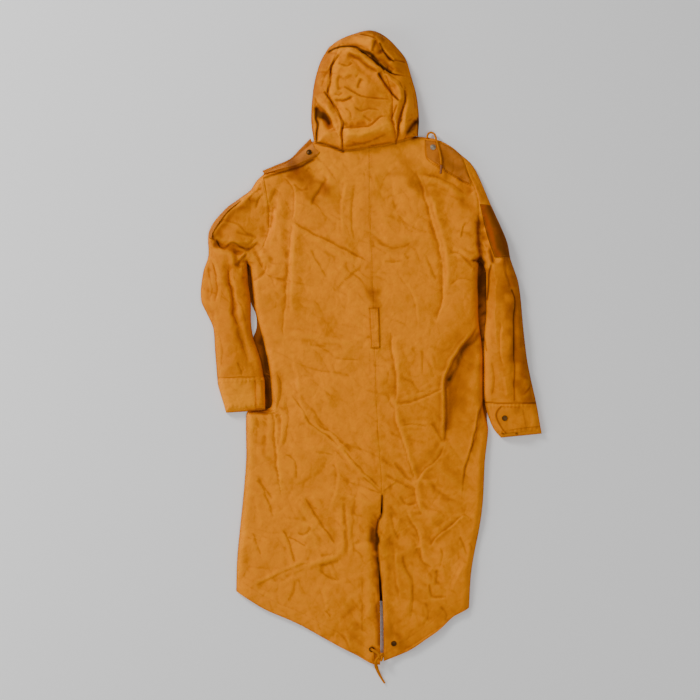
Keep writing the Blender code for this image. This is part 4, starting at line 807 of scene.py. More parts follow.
class Noise(Cells):
    """Smooth seeded noise over the plan, from -1 to 1."""

    START = 7.3

    def __init__(self, seed: int, scale: float) -> None:
        """Draws the values from a seed, for swells of a size in millimetres."""
        super().__init__(seed)
        self.scale = scale

    def at(self, places: Grid) -> Grid:
        """The noise at each place."""
        part, (near, right, upper, far) = self.corners(places / self.scale + self.START)
        x, y = (part**3 * (part * (part * 6 - 15) + 10)).T
        return (near * (1 - x) + right * x) * (1 - y) + (upper * (1 - x) + far * x) * y


def drift(places: Grid, seed: int, scale: float) -> Grid:
    """How far noise moves each place, from -1 to 1 in X and Y."""
    return np.column_stack([Noise(seed, scale).at(places), Noise(seed + 1, scale).at(places)])


class Facets(Cells):
    """Seeded heights joined by flat triangles, from -1 to 1."""

    START, STRAY, STRAY_SIZE = 9.1, 0.62, 1.6

    def __init__(self, seed: int, size: float, turn: float) -> None:
        """Draws the heights from a seed, for facets of a size in millimetres, turned by radians."""
        super().__init__(seed)
        self.seed, self.size, self.turn = seed, size, turn

    def at(self, places: Grid) -> Grid:
        """The height at each place."""
        stray = drift(places, self.seed + 1, self.STRAY_SIZE * self.size)
        strayed = places + self.STRAY * self.size * stray
        cosine, sine = np.cos(self.turn), np.sin(self.turn)
        skew = np.array(((cosine, -sine), (0.5 * cosine + sine, cosine - 0.5 * sine)))
        part, (near, right, upper, far) = self.corners(strayed @ skew / self.size + self.START)
        x, y = part.T
        below = near * (1 - x - y) + right * x + upper * y
        above = far * (x + y - 1) + upper * (1 - x) + right * (1 - y)
        return np.where(x + y < 1, below, above)


class Crumple:
    """Layers of flat facets with crisp borders, as in cloth that keeps its creases."""

    def __init__(self, seed: int, sizes: Sequence[tuple[float, float]]) -> None:
        """Draws layers of facets from a seed, each of a size and a height in millimetres."""
        self.layers = [
            (Facets(seed + 7 * n, size, 0.4 + 1.1 * n), height) for n, (size, height) in enumerate(sizes)
        ]
        self.patchy = Noise(seed + 101, 90)

    def at(self, places: Grid) -> Grid:
        """The height of the crumple at each place, in millimetres."""
        strong = 0.8 + 0.45 * self.patchy.at(places)
        return strong * sum(height * facets.at(places) for facets, height in self.layers)


def crease_profile(away: Grid, side: Grid, crease: Crease, spread: float) -> Grid:
    """The section of a crease, which has a steep flank and a gentle one.

    Args:
        away: the distance from its path.
        side: 1 on the right of the path and -1 on its left.
        crease: the crease.
        spread: a factor on its width.

    Returns:
        The height at each place, in millimetres.
    """
    turn = np.sign(crease.lean) or 1.0
    lean = abs(crease.lean)
    if crease.power >= 2:
        return crease.height * np.exp(-((away / crease.width) ** crease.power))
    steep = side * turn > 0
    wide = crease.width * np.where(steep, 1.5 - 0.9 * lean, spread * (2.4 + 4.5 * lean))
    section = np.clip(1 - away / wide, 0, 1) ** crease.power
    return crease.height * section


def creased(places: Grid, drawn: Iterable[Crease], strength: float = 1.0, spread: float = 1.0) -> Grid:
    """The height that creases give to each place.

    Args:
        places: the places in plan.
        drawn: the creases.
        strength: a factor on their heights.
        spread: a factor on their widths.

    Returns:
        The heights, in millimetres.
    """
    total = np.zeros(len(places))
    for crease in drawn:
        route = dense_curve(crease.path, 5)
        near = near_to(places, route, CREASE_REACH * spread * crease.width * (1 + abs(crease.lean)))
        if len(near):
            away, where, side = path_distance(places[near], route)
            ends = np.clip(np.minimum(where, 1 - where) / CREASE_TAPER, 0, 1)
            taper = crease.fade + (1 - crease.fade) * ends * (2 - ends)
            total[near] += strength * taper * crease_profile(away, side, crease, spread)
    return total


def rise(depth: Grid, roll: float, power: float) -> Grid:
    """How far the cloth has risen this deep inside its edge: 0 at the edge, 1 past the roll."""
    within = 1 - (1 - np.clip(depth / roll, 0, 1)) ** power
    return np.where(depth < 0, power * depth / roll, within)


@dataclass
class Lie:
    """How part of the garment lies: the height of its outer face over any place in plan."""

    edges: Sequence[Route]
    loft: float
    roll: float
    power: float
    folds: Sequence[Crease]
    creases: Sequence[tuple[float, float, Sequence[Crease]]]
    crumple: Crumple
    hem: Sequence[Route] = ()
    on_front: bool = False
    seams: Sequence[tuple[float, Route]] = ()
    ring: Grid = field(init=False)
    hem_line: Grid | None = field(init=False)

    def __post_init__(self) -> None:
        """Joins its edges to a ring, and the edges of its hem to a line."""
        self.ring = np.vstack([dense_curve(edge, 6) for edge in self.edges])
        self.hem_line = np.vstack([dense_curve(edge, 6) for edge in self.hem]) if self.hem else None

    def floor(self, places: Grid) -> Grid:
        """The top of what this part of the garment lies on, in millimetres."""
        if not self.on_front:
            return np.zeros(len(places))
        return CLOTH * np.clip((places[:, 1] - FRONT_HEM + FRONT_HEM_EASE) / FRONT_HEM_EASE, 0, 1)

    def seam_relief(self, places: Grid) -> Grid:
        """The groove and the puckers along each seam, in millimetres."""
        total = np.zeros(len(places))
        for number, (strength, seam) in enumerate(self.seams):
            route = dense_curve(seam, 8)
            near = near_to(places, route, 24)
            if not len(near):
                continue
            away, where, _ = path_distance(places[near], route)
            uneven = Noise(60 + number, 30).at(places[near])
            puckers = np.sin(where * whole_length(route) / PUCKER_PITCH + 2.2 * uneven)
            puckers *= 0.55 + 0.45 * uneven
            welt = 0.9 * bell(away - 5, 4) - 1.5 * bell(away, 1.7)
            total[near] += strength * welt + min(MOST_PUCKER, strength) * puckers * bell(away - 3, 6)
        return total

    def height(self, places: Grid, fine: bool = True) -> Grid:
        """The height of the outer face.

        Args:
            places: the places in plan, in millimetres.
            fine: whether creases and crumple are in it.

        Returns:
            One height for each place, in millimetres.
        """
        depth = path_distance(places, self.ring)[0]
        depth = np.where(inside(places, self.ring), depth, -depth)
        strayed = places + WANDER * drift(places, 41, 17)
        swell = self.loft + creased(strayed, self.folds, FOLD_SHARE)
        if self.hem_line is not None:
            hem_away = path_distance(places, self.hem_line)[0]
            near = np.clip(hem_away / HEM_REACH, 0, 1)
            swell *= HEM_LOFT + (1 - HEM_LOFT) * near * (2 - near)
        lowest = self.floor(places) + GAP + CLOTH
        total = lowest + rise(depth, self.roll, self.power) * np.maximum(swell, 2)
        if fine:
            detail = self.crumple.at(places) + self.seam_relief(places)
            for strength, spread, drawn in self.creases:
                detail += creased(strayed, drawn, strength, spread)
            if self.hem_line is not None:
                detail += 0.2 * smooth_step((28 - hem_away) / 4)
            total += detail * (0.25 + 0.75 * smooth_step((depth - 1) / 9))
        return np.maximum(total, lowest - 0.2)


# ------------------------------------------------------------------ sheets
def blurred(values: Grid, times: int) -> Grid:
    """A grid of values, smoothed over its neighbours this many times."""
    for _ in range(2 * times):
        wide = np.pad(values, ((1, 1), (0, 0)), mode="edge")
        values = (0.25 * wide[:-2] + 0.5 * wide[1:-1] + 0.25 * wide[2:]).T
    return values


def facing(points: Grid) -> Grid:
    """The way a grid of points looks at each of its points, upwards."""
    down, across = np.gradient(points, axis=0), np.gradient(points, axis=1)
    ways = np.cross(down, across)
    ways *= np.where(ways[..., 2:] < 0, -1, 1)
    return ways / np.maximum(np.linalg.norm(ways, axis=2, keepdims=True), TINY)


def marked(places: Grid, drawn: Sequence[Mark], seed: int, ragged: float) -> Grid:
    """How strongly marks show at each place.

    Args:
        places: the places in plan.
        drawn: the marks.
        seed: the seed of their ragged outline.
        ragged: how far that outline strays, in millimetres.

    Returns:
        The sum of the marks at each place.
    """
    total = np.zeros(len(places))
    stray = drift(places, seed, 19)
    for mark in drawn:
        strayed = places + min(ragged, 0.8 * mark.width) * stray
        total += mark.strength * bell(path_distance(strayed, dense_curve(mark.path, 4))[0], mark.width)
    return total


def in_row(points: Grid) -> Grid:
    """Points given in millimetres from the nape, in metres in the row's frame."""
    return points * MM + NAPE


def linked(name: str, data: bpy.types.ID) -> bpy.types.Object:
    """A new object of the scene, with its data."""
    made = bpy.data.objects.new(name, data)
    bpy.context.scene.collection.objects.link(made)
    return made


@dataclass
class Sheet:
    """One cut piece of cloth: a thin closed wall over a grid in plan, in millimetres."""

    node: str
    grid: Grid
    top: Grid
    rests_on: tuple[str, ...]
    slot: Slot = Slot.COTTON
    shell: float = SHELL
    floor: float = 0.0
    flat_under: bool = False
    tube: bool = False
    # Painted shade and light on the whole piece: below 0 darker, above 0 paler
    painted_shading: float = 0.0

    @property
    def name(self) -> str:
        """The piece's name, after its CAD node."""
        return f"{self.node}_cloth"

    def points(self) -> tuple[Grid, Grid]:
        """The outer and the inner points, in millimetres."""
        outer = np.dstack([self.grid, self.top])
        if self.flat_under:
            inner = outer.copy()
            inner[..., 2] = np.maximum(self.top - self.shell, self.floor)
            return outer, inner
        inner = outer - self.shell * facing(outer)
        inner[..., 2] = np.maximum(inner[..., 2], self.floor)
        return outer, inner

    def sizes(self, outer: Grid) -> tuple[tuple[float, float], float]:
        """The flat width, length and area of the cut, in metres, from the lie of the cloth."""
        across = np.linalg.norm(np.diff(outer, axis=1), axis=2).sum(axis=1).max() * MM
        length = np.linalg.norm(np.diff(outer, axis=0), axis=2).sum(axis=0).max() * MM
        one, other = outer[1:, 1:] - outer[:-1, :-1], outer[1:, :-1] - outer[:-1, 1:]
        area = 0.5 * np.linalg.norm(np.cross(one, other), axis=2).sum() * MM**2
        if self.tube:
            area, across = 2 * area, 2 * across
        across = min(max(across, area / length), area / length / LEAST_FILL) + CUT_EASE
        return (round(float(across), 3), round(float(length), 3)), round(float(area), 5)

    def faces(self, rows: int, columns: int) -> list[tuple[int, ...]]:
        """The faces of the wall: its outer and inner side, and the rim or, on a tube, both ends."""
        count = rows * columns
        at = np.arange(count).reshape(rows, columns)
        if self.tube:
            at = np.hstack([at, at[:, :1]])
            rim, onward = np.hstack([at[0, :-1], at[-1, 1:]]), np.hstack([at[0, 1:], at[-1, :-1]])
        else:
            rim = np.concatenate([at[0, :], at[1:, -1], at[-1, -2::-1], at[-2:0:-1, 0]])
            onward = np.roll(rim, -1)
        quads = np.stack([at[:-1, :-1], at[:-1, 1:], at[1:, 1:], at[1:, :-1]], axis=-1).reshape(-1, 4)
        edge = np.stack([onward, rim, rim + count, onward + count], axis=-1)
        return np.vstack([quads, quads[:, ::-1] + count, edge]).tolist()

    def build(self, material: bpy.types.Material) -> bpy.types.Object:
        """Args:
            material: its finish.

        Returns:
            The object.
        """
        outer, inner = self.points()
        relief = self.top
        if self.tube:
            under, under_inner = outer[:, ::-1].copy(), inner[:, ::-1].copy()
            under[..., 2], under_inner[..., 2] = 0.0, self.shell
            inner[..., 2] = np.maximum(inner[..., 2], self.shell + 0.3)
            outer = np.concatenate([outer, under], axis=1)
            inner = np.concatenate([inner, under_inner], axis=1)
            relief = np.concatenate([relief, np.zeros_like(relief)], axis=1)
        faces = self.faces(*outer.shape[:2])
        mesh = bpy.data.meshes.new(self.name)
        both = np.vstack([outer.reshape(-1, 3), inner.reshape(-1, 3)])
        mesh.from_pydata(in_row(both).tolist(), [], faces)
        self.lay_out(mesh, outer)
        self.colour(mesh, outer, relief)
        mesh.materials.append(material)
        made = linked(self.name, mesh)
        face_outwards(made)
        mesh.shade_smooth()
        mesh.set_sharp_from_angle(angle=1.1)
        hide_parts(self.node)
        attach(made, BODY)
        return made

    def lay_out(self, mesh: bpy.types.Mesh, outer: Grid) -> None:
        """Gives the mesh UVs in metres of cloth.

        Args:
            mesh: the mesh.
            outer: its outer points.
        """
        across = np.linalg.norm(np.diff(outer, axis=1), axis=2)
        length = np.linalg.norm(np.diff(outer, axis=0), axis=2)
        u = np.concatenate([np.zeros((outer.shape[0], 1)), np.cumsum(across, axis=1)], axis=1)
        v = np.concatenate([np.zeros((1, outer.shape[1])), np.cumsum(length, axis=0)], axis=0)
        flat = np.stack([u - u[:, -1:], -v], axis=-1).reshape(-1, 2) * MM
        corners = np.zeros(len(mesh.loops), int)
        mesh.loops.foreach_get("vertex_index", corners)
        layer = mesh.uv_layers.new(name="UVMap")
        layer.data.foreach_set("uv", np.vstack([flat, flat])[corners].astype(np.float32).ravel())

    def colour(self, mesh: bpy.types.Mesh, outer: Grid, relief: Grid) -> None:
        """Gives the mesh its masks: painted shade in its hollows, paler ridges, stains, and painted shade and
        light from marks.

        Args:
            mesh: the mesh.
            outer: its outer points.
            relief: the height at each of them.
        """
        places = outer[..., :2].reshape(-1, 2)
        sharp, broad = (blurred(relief, 2) - relief) / 0.3, (blurred(relief, 14) - relief) / 2.8
        # Painted shade: darker colour in the sharp and the broad hollows of the relief
        crease_shade = np.clip(sharp, 0, 1) * 0.6 + np.clip(broad, 0, 1) * 0.5
        crest = np.clip(-sharp, 0, 1) * 0.5 + np.clip(-broad, 0, 1) * 0.3
        masks = {
            "crease_shade": np.clip(crease_shade, 0, 1).ravel(),
            "ridge": np.clip(crest, 0, 1).ravel(),
            "stain": np.clip(marked(places, STAINS, 301, 14), 0, 1),
            # Painted shade and light: the piece's own value and the marks, darker or paler
            "painted_shading": np.clip(self.painted_shading + marked(places, PAINTED_SHADING_MARKS, 311, 20), -2, 1),
        }
        for name, values in masks.items():
            layer = mesh.attributes.new(name, "FLOAT", "POINT")
            layer.data.foreach_set("value", np.concatenate([values, values]).astype(np.float32))


def face_outwards(made: bpy.types.Object) -> None:
    """Turns the faces of a closed mesh outwards."""
    bpy.ops.object.select_all(action="DESELECT")
    bpy.context.view_layer.objects.active = made
    made.select_set(True)
    bpy.ops.object.mode_set(mode="EDIT")
    bpy.ops.mesh.select_all(action="SELECT")
    bpy.ops.mesh.normals_make_consistent(inside=False)
    bpy.ops.object.mode_set(mode="OBJECT")


# ------------------------------------------------------------------ the garment's parts
@dataclass
class Laid:
    """The two lies of the garment and the finishes of its cloth, shared by its parts."""

    body: Lie
    head: Lie
    cotton: bpy.types.Material
    patch_cotton: bpy.types.Material
    strap_cotton: bpy.types.Material


@dataclass
class BackPanels:
    """The two back panels, split below the centre seam, the right one lapping over the left."""

    laid: Laid
    columns: int = 108
    stepped: int = 26
    edge_steps: tuple[int, ...] = (26, 60, 12)
    gape: float = -862.0

    def edge_rows(self, shoulder: Route, armhole: Route, underarm: Route, flank: Route) -> Grid:
        """The outer edge of a panel, from the neck to the hem."""
        sewn = zip((shoulder, armhole, underarm), self.edge_steps)
        upper, lower = np.linspace(flank[0][1], -700, 171), np.linspace(-700, flank[-1][1], 131)
        return np.vstack([
            shoulder[:1], *(along(path, even(steps))[1:] for path, steps in sewn),
            at_levels(flank, upper)[1:], at_levels(flank, lower)[1:],
        ])

    def centre_rows(self, vent: Route) -> Grid:
        """The centre edge of a panel, from the neck to its point."""
        levels = np.concatenate([
            np.linspace(11, -62, 27), np.linspace(-62, -249, 73)[1:], np.linspace(-249, -759, 171)[1:],
        ])
        return np.vstack([at_levels(CENTRE_SEAM, levels), along(vent, even(130))[1:]])

    def build(self) -> dict[str, bpy.types.Object]:
        """Makes both panels.

        Returns:
            The panels by side.
        """
        made = {}
        for side, neck, shoulder, armhole, underarm, flank, plain_flank, hem, vent in (
            ("left", NECK_LEFT, SHOULDER_LEFT, ARMHOLE_LEFT, UNDERARM_LEFT, SIDE_LEFT, PLAIN_SIDE_LEFT,
             HEM_TAIL_LEFT, VENT_LEFT),
            ("right", NECK_RIGHT, SHOULDER_RIGHT, ARMHOLE_RIGHT, UNDERARM_RIGHT, SIDE_RIGHT, SIDE_RIGHT,
             HEM_TAIL_RIGHT, VENT_RIGHT),
        ):
            steps = even(self.columns) ** 1.25
            outer = self.edge_rows(shoulder, armhole, underarm, flank)
            plain = self.edge_rows(shoulder, armhole, underarm, plain_flank)
            grid = patch(plain, self.centre_rows(vent), along(neck, steps), along(hem, steps))
            share = even(self.stepped)[None, :, None]
            grid[:, :self.stepped + 1] = outer[:, None] * (1 - share) + grid[:, self.stepped, None] * share
            grid[:, -1, 0] += SEAM / 4 * (-1 if side == "left" else 1)
            grid = self.lapped(grid, side)
            top = over(grid, self.laid.body.height) + self.vent_lift(grid, side)
            rest = (f"front_{side}_cloth", "front_fly_cloth")
            made[side] = Sheet(f"back_{side}", grid, top, rest, floor=CLOTH + 0.1).build(self.laid.cotton)
        return made

    def lapped(self, grid: Grid, side: str) -> Grid:
        """Draws the left panel's vent edge on, under the right panel."""
        if side == "right":
            return grid
        levels, laps = np.array(VENT_LAP).T
        lap = np.interp(grid[:, -1, 1], levels, laps)
        grid[:, :, 0] += lap[:, None] * smooth_step((grid[:, :, 0] + 60) / 75)
        return grid

    def vent_lift(self, grid: Grid, side: str) -> Grid:
        """How far a panel's vent edge is raised, or pressed down under the other panel."""
        vent = dense_curve(VENT_RIGHT if side == "right" else VENT_LEFT, 8)
        away = over(grid, lambda places: path_distance(places, vent)[0])
        below = smooth_step((-772 - grid[..., 1]) / 40)
        past_gape = grid[..., 1] - self.gape
        if side == "right":
            return below * (1 + 0.9 * bell(past_gape, 42)) * 2.2 * bell(away, 15)
        return -below * (2.4 + 3.4 * bell(past_gape, 46)) * bell(away, 17)


@dataclass
class Fronts:
    """The fronts and the fly underneath, hidden and flat where they rest, painted dark for the shade where
    they show.
    """

    laid: Laid
    ripple: float = 0.18

    def flat(self, node: str, grid: Grid) -> bpy.types.Object:
        """A piece that lies flat on the surface, with the slightest ripple on its upper face."""
        top = SHELL + self.ripple * over(grid, Noise(77, 24).at)
        # Painted shade: these pieces show only in shaded gaps, so their colour is darkened towards shadow
        # brown
        return Sheet(node, grid, top, (), shell=2 * SHELL, flat_under=True, painted_shading=-1.4).build(self.laid.cotton)

    def build(self) -> None:
        """Makes the two fronts and the fly."""
        for side, shoulder, armhole, underarm, flank, turn in (
            ("left", SHOULDER_LEFT, ARMHOLE_LEFT, UNDERARM_LEFT, FRONT_SIDE_LEFT, -1),
            ("right", SHOULDER_RIGHT, ARMHOLE_RIGHT, UNDERARM_RIGHT, FRONT_SIDE_RIGHT, 1),
        ):
            lowest = max(FRONT_HEM + 14, flank[-1][1] + 2)
            edge = np.vstack([
                along(shoulder, even(8)), along(armhole, even(16))[1:], along(underarm, even(4))[1:],
                at_levels(flank, np.linspace(flank[0][1], lowest, 91))[1:],
            ])
            first, last = edge[0], edge[-1]
            inner_x = turn * (FLY_HALF_WIDTH + GAP)
            centre = np.column_stack([
                np.full(len(edge), inner_x), np.linspace(FLY_TOP, last[1] - FRONT_HEM_DIP, len(edge)),
            ])
            neck = along((first, (0.5 * (first[0] + inner_x), -6), centre[0]), even(24))
            middle = (0.5 * (last[0] + inner_x), last[1] - 0.8 * FRONT_HEM_DIP)
            low = along((last, middle, centre[-1]), even(24))
            self.flat(f"front_{side}", patch(edge, centre, neck, low))
        fly = [((x, FLY_TOP), (x, FLY_END)) for x in (-FLY_HALF_WIDTH, FLY_HALF_WIDTH)]
        self.flat("front_fly", quad(*fly, 90, 8))


@dataclass
class SleeveCut:
    """The plan of one sleeve with its cuff and the cuff's tab."""

    side: str
    armhole: Route
    underarm: Route
    outer: Route
    inner: Route
    under_inner: Route
    cuff_outer: Route
    cuff_inner: Route
    tab_outer: Route
    tab_inner: Route


SLEEVE_CUTS = (
    SleeveCut(
        "left", ARMHOLE_LEFT, UNDERARM_LEFT, SLEEVE_LEFT_OUTER, SLEEVE_LEFT_INNER, SLEEVE_LEFT_UNDER_INNER,
        CUFF_LEFT_OUTER, CUFF_LEFT_INNER, CUFF_TAB_LEFT_OUTER, CUFF_TAB_LEFT_INNER,
    ),
    SleeveCut(
        "right", ARMHOLE_RIGHT, UNDERARM_RIGHT, SLEEVE_RIGHT_OUTER, SLEEVE_RIGHT_INNER,
        SLEEVE_RIGHT_UNDER_INNER, CUFF_RIGHT_OUTER, CUFF_RIGHT_INNER, CUFF_TAB_RIGHT_OUTER,
        CUFF_TAB_RIGHT_INNER,
    ),
)


@dataclass
class Sleeves:
    """Both sleeves, the pieces under them, their cuffs and the cuffs' tabs."""

    laid: Laid
    fronts: Fronts
    rows: int = 190
    columns: int = 76

    def inner_edge(self, underarm: Route, curve: Route, rows: int) -> Grid:
        """The inner edge of a sleeve: first sewn to the body, then free."""
        sewn = max(3, rows // 14)
        return np.vstack([along(underarm, even(sewn)), along(curve, even(rows - sewn))[1:]])

    def build(self) -> dict[str, bpy.types.Object]:
        """Makes the pieces of both sleeves.

        Returns:
            The pieces by name.
        """
        made = {}
        for cut in SLEEVE_CUTS:
            across = even(self.columns)
            inner = self.inner_edge(cut.underarm, cut.inner, self.rows)
            seam = along((cut.outer[-1], cut.inner[-1]), across)
            grid = patch(along(cut.outer, even(self.rows)), inner, along(cut.armhole, across), seam)
            armhole = dense_curve(cut.armhole, 8)
            top = over(grid, self.laid.body.height)
            top += 0.4 * bell(over(grid, lambda places: path_distance(places, armhole)[0]) - 3, 6)
            name, below = f"sleeve_{cut.side}", f"sleeve_{cut.side}_under"
            # Painted shade: the sleeves a little darker than the back
            sheet = Sheet(name, grid, top, (f"{below}_cloth",), floor=CLOTH + 0.1, painted_shading=-0.12)
            made[name] = sheet.build(self.laid.cotton)
            coarse = even(20)
            under = patch(
                along(cut.outer, even(60)), self.inner_edge(cut.underarm, cut.under_inner, 60),
                along(cut.armhole, coarse), along((cut.outer[-1], cut.under_inner[-1]), coarse),
            )
            self.fronts.flat(below, under)
            made[f"cuff_{cut.side}"] = self.cuff(cut)
            made[f"tab_{cut.side}"] = self.tab(cut)
        return made

    def cuff_top(self, places: Grid, cut: SleeveCut) -> Grid:
        """The height of a cuff over places in plan: the sleeve's, with the band's own steps."""
        seam = np.array((cut.outer[-1], cut.inner[-1]), float)
        hem = np.array((cut.cuff_outer[-1], cut.cuff_inner[-1]), float)
        below, above = path_distance(places, seam)[0], path_distance(places, hem)[0]
        band = 1.3 * smooth_step((below - 1) / 3) + 0.5 * smooth_step((14 - above) / 2)
        pucker = 0.35 * np.sin(places[:, 0] / 1.5 + Noise(83, 20).at(places) * 2)
        band += pucker * (bell(below - 6, 5) + bell(above - 13, 5))
        return self.laid.body.height(places) + band

    def cuff(self, cut: SleeveCut) -> bpy.types.Object:
        """A cuff: one band that runs over the sleeve's end and back underneath."""
        across = even(self.columns)
        grid = patch(
            along(cut.cuff_outer, even(36)), along(cut.cuff_inner, even(36)),
            along((cut.outer[-1], cut.inner[-1]), across),
            along((cut.cuff_outer[-1], cut.cuff_inner[-1]), across),
        )
        top = over(grid, lambda places: self.cuff_top(places, cut))
        # Painted light and shade: the left cuff, turned to the light, is paler, and the right one darker
        painted_shading = 0.35 if cut.side == "left" else -0.1
        cuff = Sheet(f"cuff_{cut.side}", grid, top, (f"sleeve_{cut.side}_cloth",), tube=True, painted_shading=painted_shading)
        return cuff.build(self.laid.cotton)

    def tab(self, cut: SleeveCut) -> bpy.types.Object:
        """A cuff's tab, sewn on the band and lifted a little at its free edge."""
        grid = quad(cut.tab_outer, cut.tab_inner, 44, 24)
        rows, columns = grid.shape[:2]
        free = np.linspace(0, 1, columns)[None, :] ** 2
        bow = np.sin(np.pi * np.linspace(0.1, 0.9, rows))[:, None]
        top = over(grid, lambda places: self.cuff_top(places, cut)) + LAID_ON + SHELL + 1.3 * free * bow
        below = (f"cuff_{cut.side}_cloth",)
        # Painted shade: the tab a little darker than the cuff
        tab = Sheet(f"cuff_tab_{cut.side}", grid, top, below, flat_under=True, painted_shading=-0.1)
        return tab.build(self.laid.cotton)


@dataclass
class Hood:
    """The collapsed hood: a centre and two sides, and the visor that overhangs them."""

    laid: Laid
    rows: int = 104
    overhang: float = 7.0

    def over_neck(self, places: Grid) -> Grid:
        """The top of the back panels near the neck seam, with room for the hood, or 0 elsewhere."""
        line = dense_curve([*NECK_LEFT[:-1], *NECK_RIGHT[::-1]], 8)
        neck_y = np.interp(places[:, 0], line[:, 0], line[:, 1])
        near = smooth_step((neck_y + 7 - places[:, 1]) / 7)
        return (self.laid.body.height(places) + LAID_ON + SHELL + 0.6) * near

    def top(self, places: Grid) -> Grid:
        """The height of the hood's outer face."""
        own, neck = self.laid.head.height(places), self.over_neck(places)
        return 0.5 * (own + neck + np.sqrt((own - neck) ** 2 + 4))

    def cut(self, curve: Grid, start: float, end: float, count: int) -> Grid:
        """Points of a curve between two values of X."""
        across = np.linspace(start, end, count + 1)
        return np.column_stack([across, np.interp(across, curve[:, 0], curve[:, 1])])

    def build(self) -> dict[str, bpy.types.Object]:
        """Makes the three parts of the hood and its visor.

        Returns:
            The pieces by name.
        """
        hem, crown = dense_curve(HOOD_HEM), dense_curve(VISOR_SEAM)
        made = {}
        # The last value of each row is painted shade and light on the whole piece: the sides darker, the
        # centre paler
        for name, left, right, hem_span, crown_span, columns, painted_shading in (
            ("hood_left", HOOD_SIDE_LEFT, HOOD_SEAM_LEFT, (-129, -64), (-98, -72), 34, -0.15),
            ("hood_centre", HOOD_SEAM_LEFT, HOOD_SEAM_RIGHT, (-64, 53), (-72, 17), 62, 0.12),
            ("hood_right", HOOD_SEAM_RIGHT, HOOD_SIDE_RIGHT, (53, 102), (17, 87), 36, -0.2),
        ):
            grid = patch(
                along(left, even(self.rows)), along(right, even(self.rows)),
                self.cut(hem, *hem_span, columns), self.cut(crown, *crown_span, columns),
            )
            rest = ("back_left_cloth", "back_right_cloth")
            piece = Sheet(name, grid, over(grid, self.top), rest, floor=0.2, painted_shading=painted_shading)
            made[name] = piece.build(self.laid.cotton)
        made["hood_visor"] = self.visor(crown)
        return made

    def visor(self, crown: Grid) -> bpy.types.Object:
        """The visor, whose lower edge stands over the rest of the hood."""
        count = 100
        low = self.cut(crown, -98, 87, count)
        droop = np.sin(np.pi * np.linspace(0, 1, count + 1)) ** 0.5
        low[:, 1] -= self.overhang * droop
        grid = patch(
            along(((-98, 224), (-95, 228)), even(34)), along(((87, 163), (85, 170)), even(34)), low,
            along(HOOD_CROWN, even(count)),
        )
        top, further = over(grid, self.laid.head.height), over(grid + (0, 16), self.laid.head.height)
        lifted = np.maximum(top + 2.5, 0.8 * further + 0.2 * top + 4)
        near_edge = 1 - smooth_step(np.linspace(0, 1, len(grid))[:, None] / 0.34)
        top = top + (lifted - top) * near_edge * droop[None, :]
        # Painted shade: the visor a little darker
        visor = Sheet("hood_visor", grid, top, ("hood_centre_cloth",), floor=0.2, painted_shading=-0.1)
        return visor.build(self.laid.cotton)


@dataclass
class Trims:
    """Shoulder straps, the loop at the centre back and the arm patches."""

    laid: Laid
    strap_rows: int = 72
    strap_columns: int = 22

    def on_body(self, places: Grid) -> Grid:
        """The top of the cloth under a trim, without the finest creases."""
        return np.maximum(self.laid.body.height(places), self.laid.body.height(places, fine=False) + 0.4)

    def sewn_on(
        self, name: str, grid: Grid, lift: Grid, rests: str, material: bpy.types.Material,
        slot: Slot = Slot.COTTON, thick: float = SHELL,
    ) -> bpy.types.Object:
        """A piece sewn flat on the garment.

        Args:
            name: the CAD node's name.
            grid: its plan.
            lift: how far each of its points is raised.
            rests: the piece that it lies on.
            material: its finish.
            slot: its material slot, kept on the sheet but not used.
            thick: its thickness, in millimetres.

        Returns:
            The piece.
        """
        rows, columns = grid.shape[:2]
        across, lengthways = np.linspace(0, 1, columns)[None, :], np.linspace(0.02, 0.98, rows)[:, None]
        plump = 0.9 * np.sin(np.pi * across) ** 0.6 * np.sin(np.pi * lengthways) ** 0.4
        top = over(grid, self.on_body) + LAID_ON + thick + lift + plump
        return Sheet(name, grid, top, (rests,), slot=slot, shell=thick, flat_under=True).build(material)

    def build(self) -> dict[str, bpy.types.Object]:
        """Makes the trims.

        Returns:
            The trims by name.
        """
        made = {}
        lengthways, across = even(self.strap_rows), even(self.strap_columns)
        point = patch(
            along(STRAP_LEFT_OUTER, lengthways), along(STRAP_LEFT_INNER, lengthways),
            along((STRAP_LEFT_OUTER[0], STRAP_LEFT_INNER[0]), across), along(STRAP_LEFT_POINT, across),
        )
        rows, columns = lengthways[:, None], across[None, :]
        raised = 7.0 * columns**1.3 * np.sin(np.pi * (0.08 + 0.92 * rows))
        made["strap_left"] = self.sewn_on(
            "shoulder_strap_left", point, raised, "back_left_cloth", self.laid.strap_cotton
        )
        plain = quad(STRAP_RIGHT_OUTER, STRAP_RIGHT_INNER, self.strap_rows, self.strap_columns)
        raised = 0.6 + 2.4 * columns * np.sin(np.pi * (0.1 + 0.9 * rows))
        made["strap_right"] = self.sewn_on(
            "shoulder_strap_right", plain, raised, "back_right_cloth", self.laid.strap_cotton
        )
        loop = quad(*zip(BACK_LOOP_TOP, BACK_LOOP_BOTTOM), 40, 12)
        bow = 1.2 * np.sin(np.pi * even(40))[:, None] * np.ones((1, 13))
        made["back_loop"] = self.sewn_on("back_loop", loop, bow, "back_left_cloth", self.laid.cotton)
        for side, outer, inner, steps, finish in (
            ("left", ARM_PATCH_LEFT_OUTER, ARM_PATCH_LEFT_INNER, 6, (self.laid.strap_cotton, Slot.COTTON)),
            ("right", ARM_PATCH_RIGHT_OUTER, ARM_PATCH_RIGHT_INNER, 26, (self.laid.patch_cotton, Slot.PATCH)),
        ):
            grid = quad(outer, inner, 60, steps)
            flat = np.zeros(grid.shape[:2])
            made[f"patch_{side}"] = self.sewn_on(
                f"arm_patch_{side}", grid, flat, f"sleeve_{side}_cloth", *finish, 1.0
            )
        return made


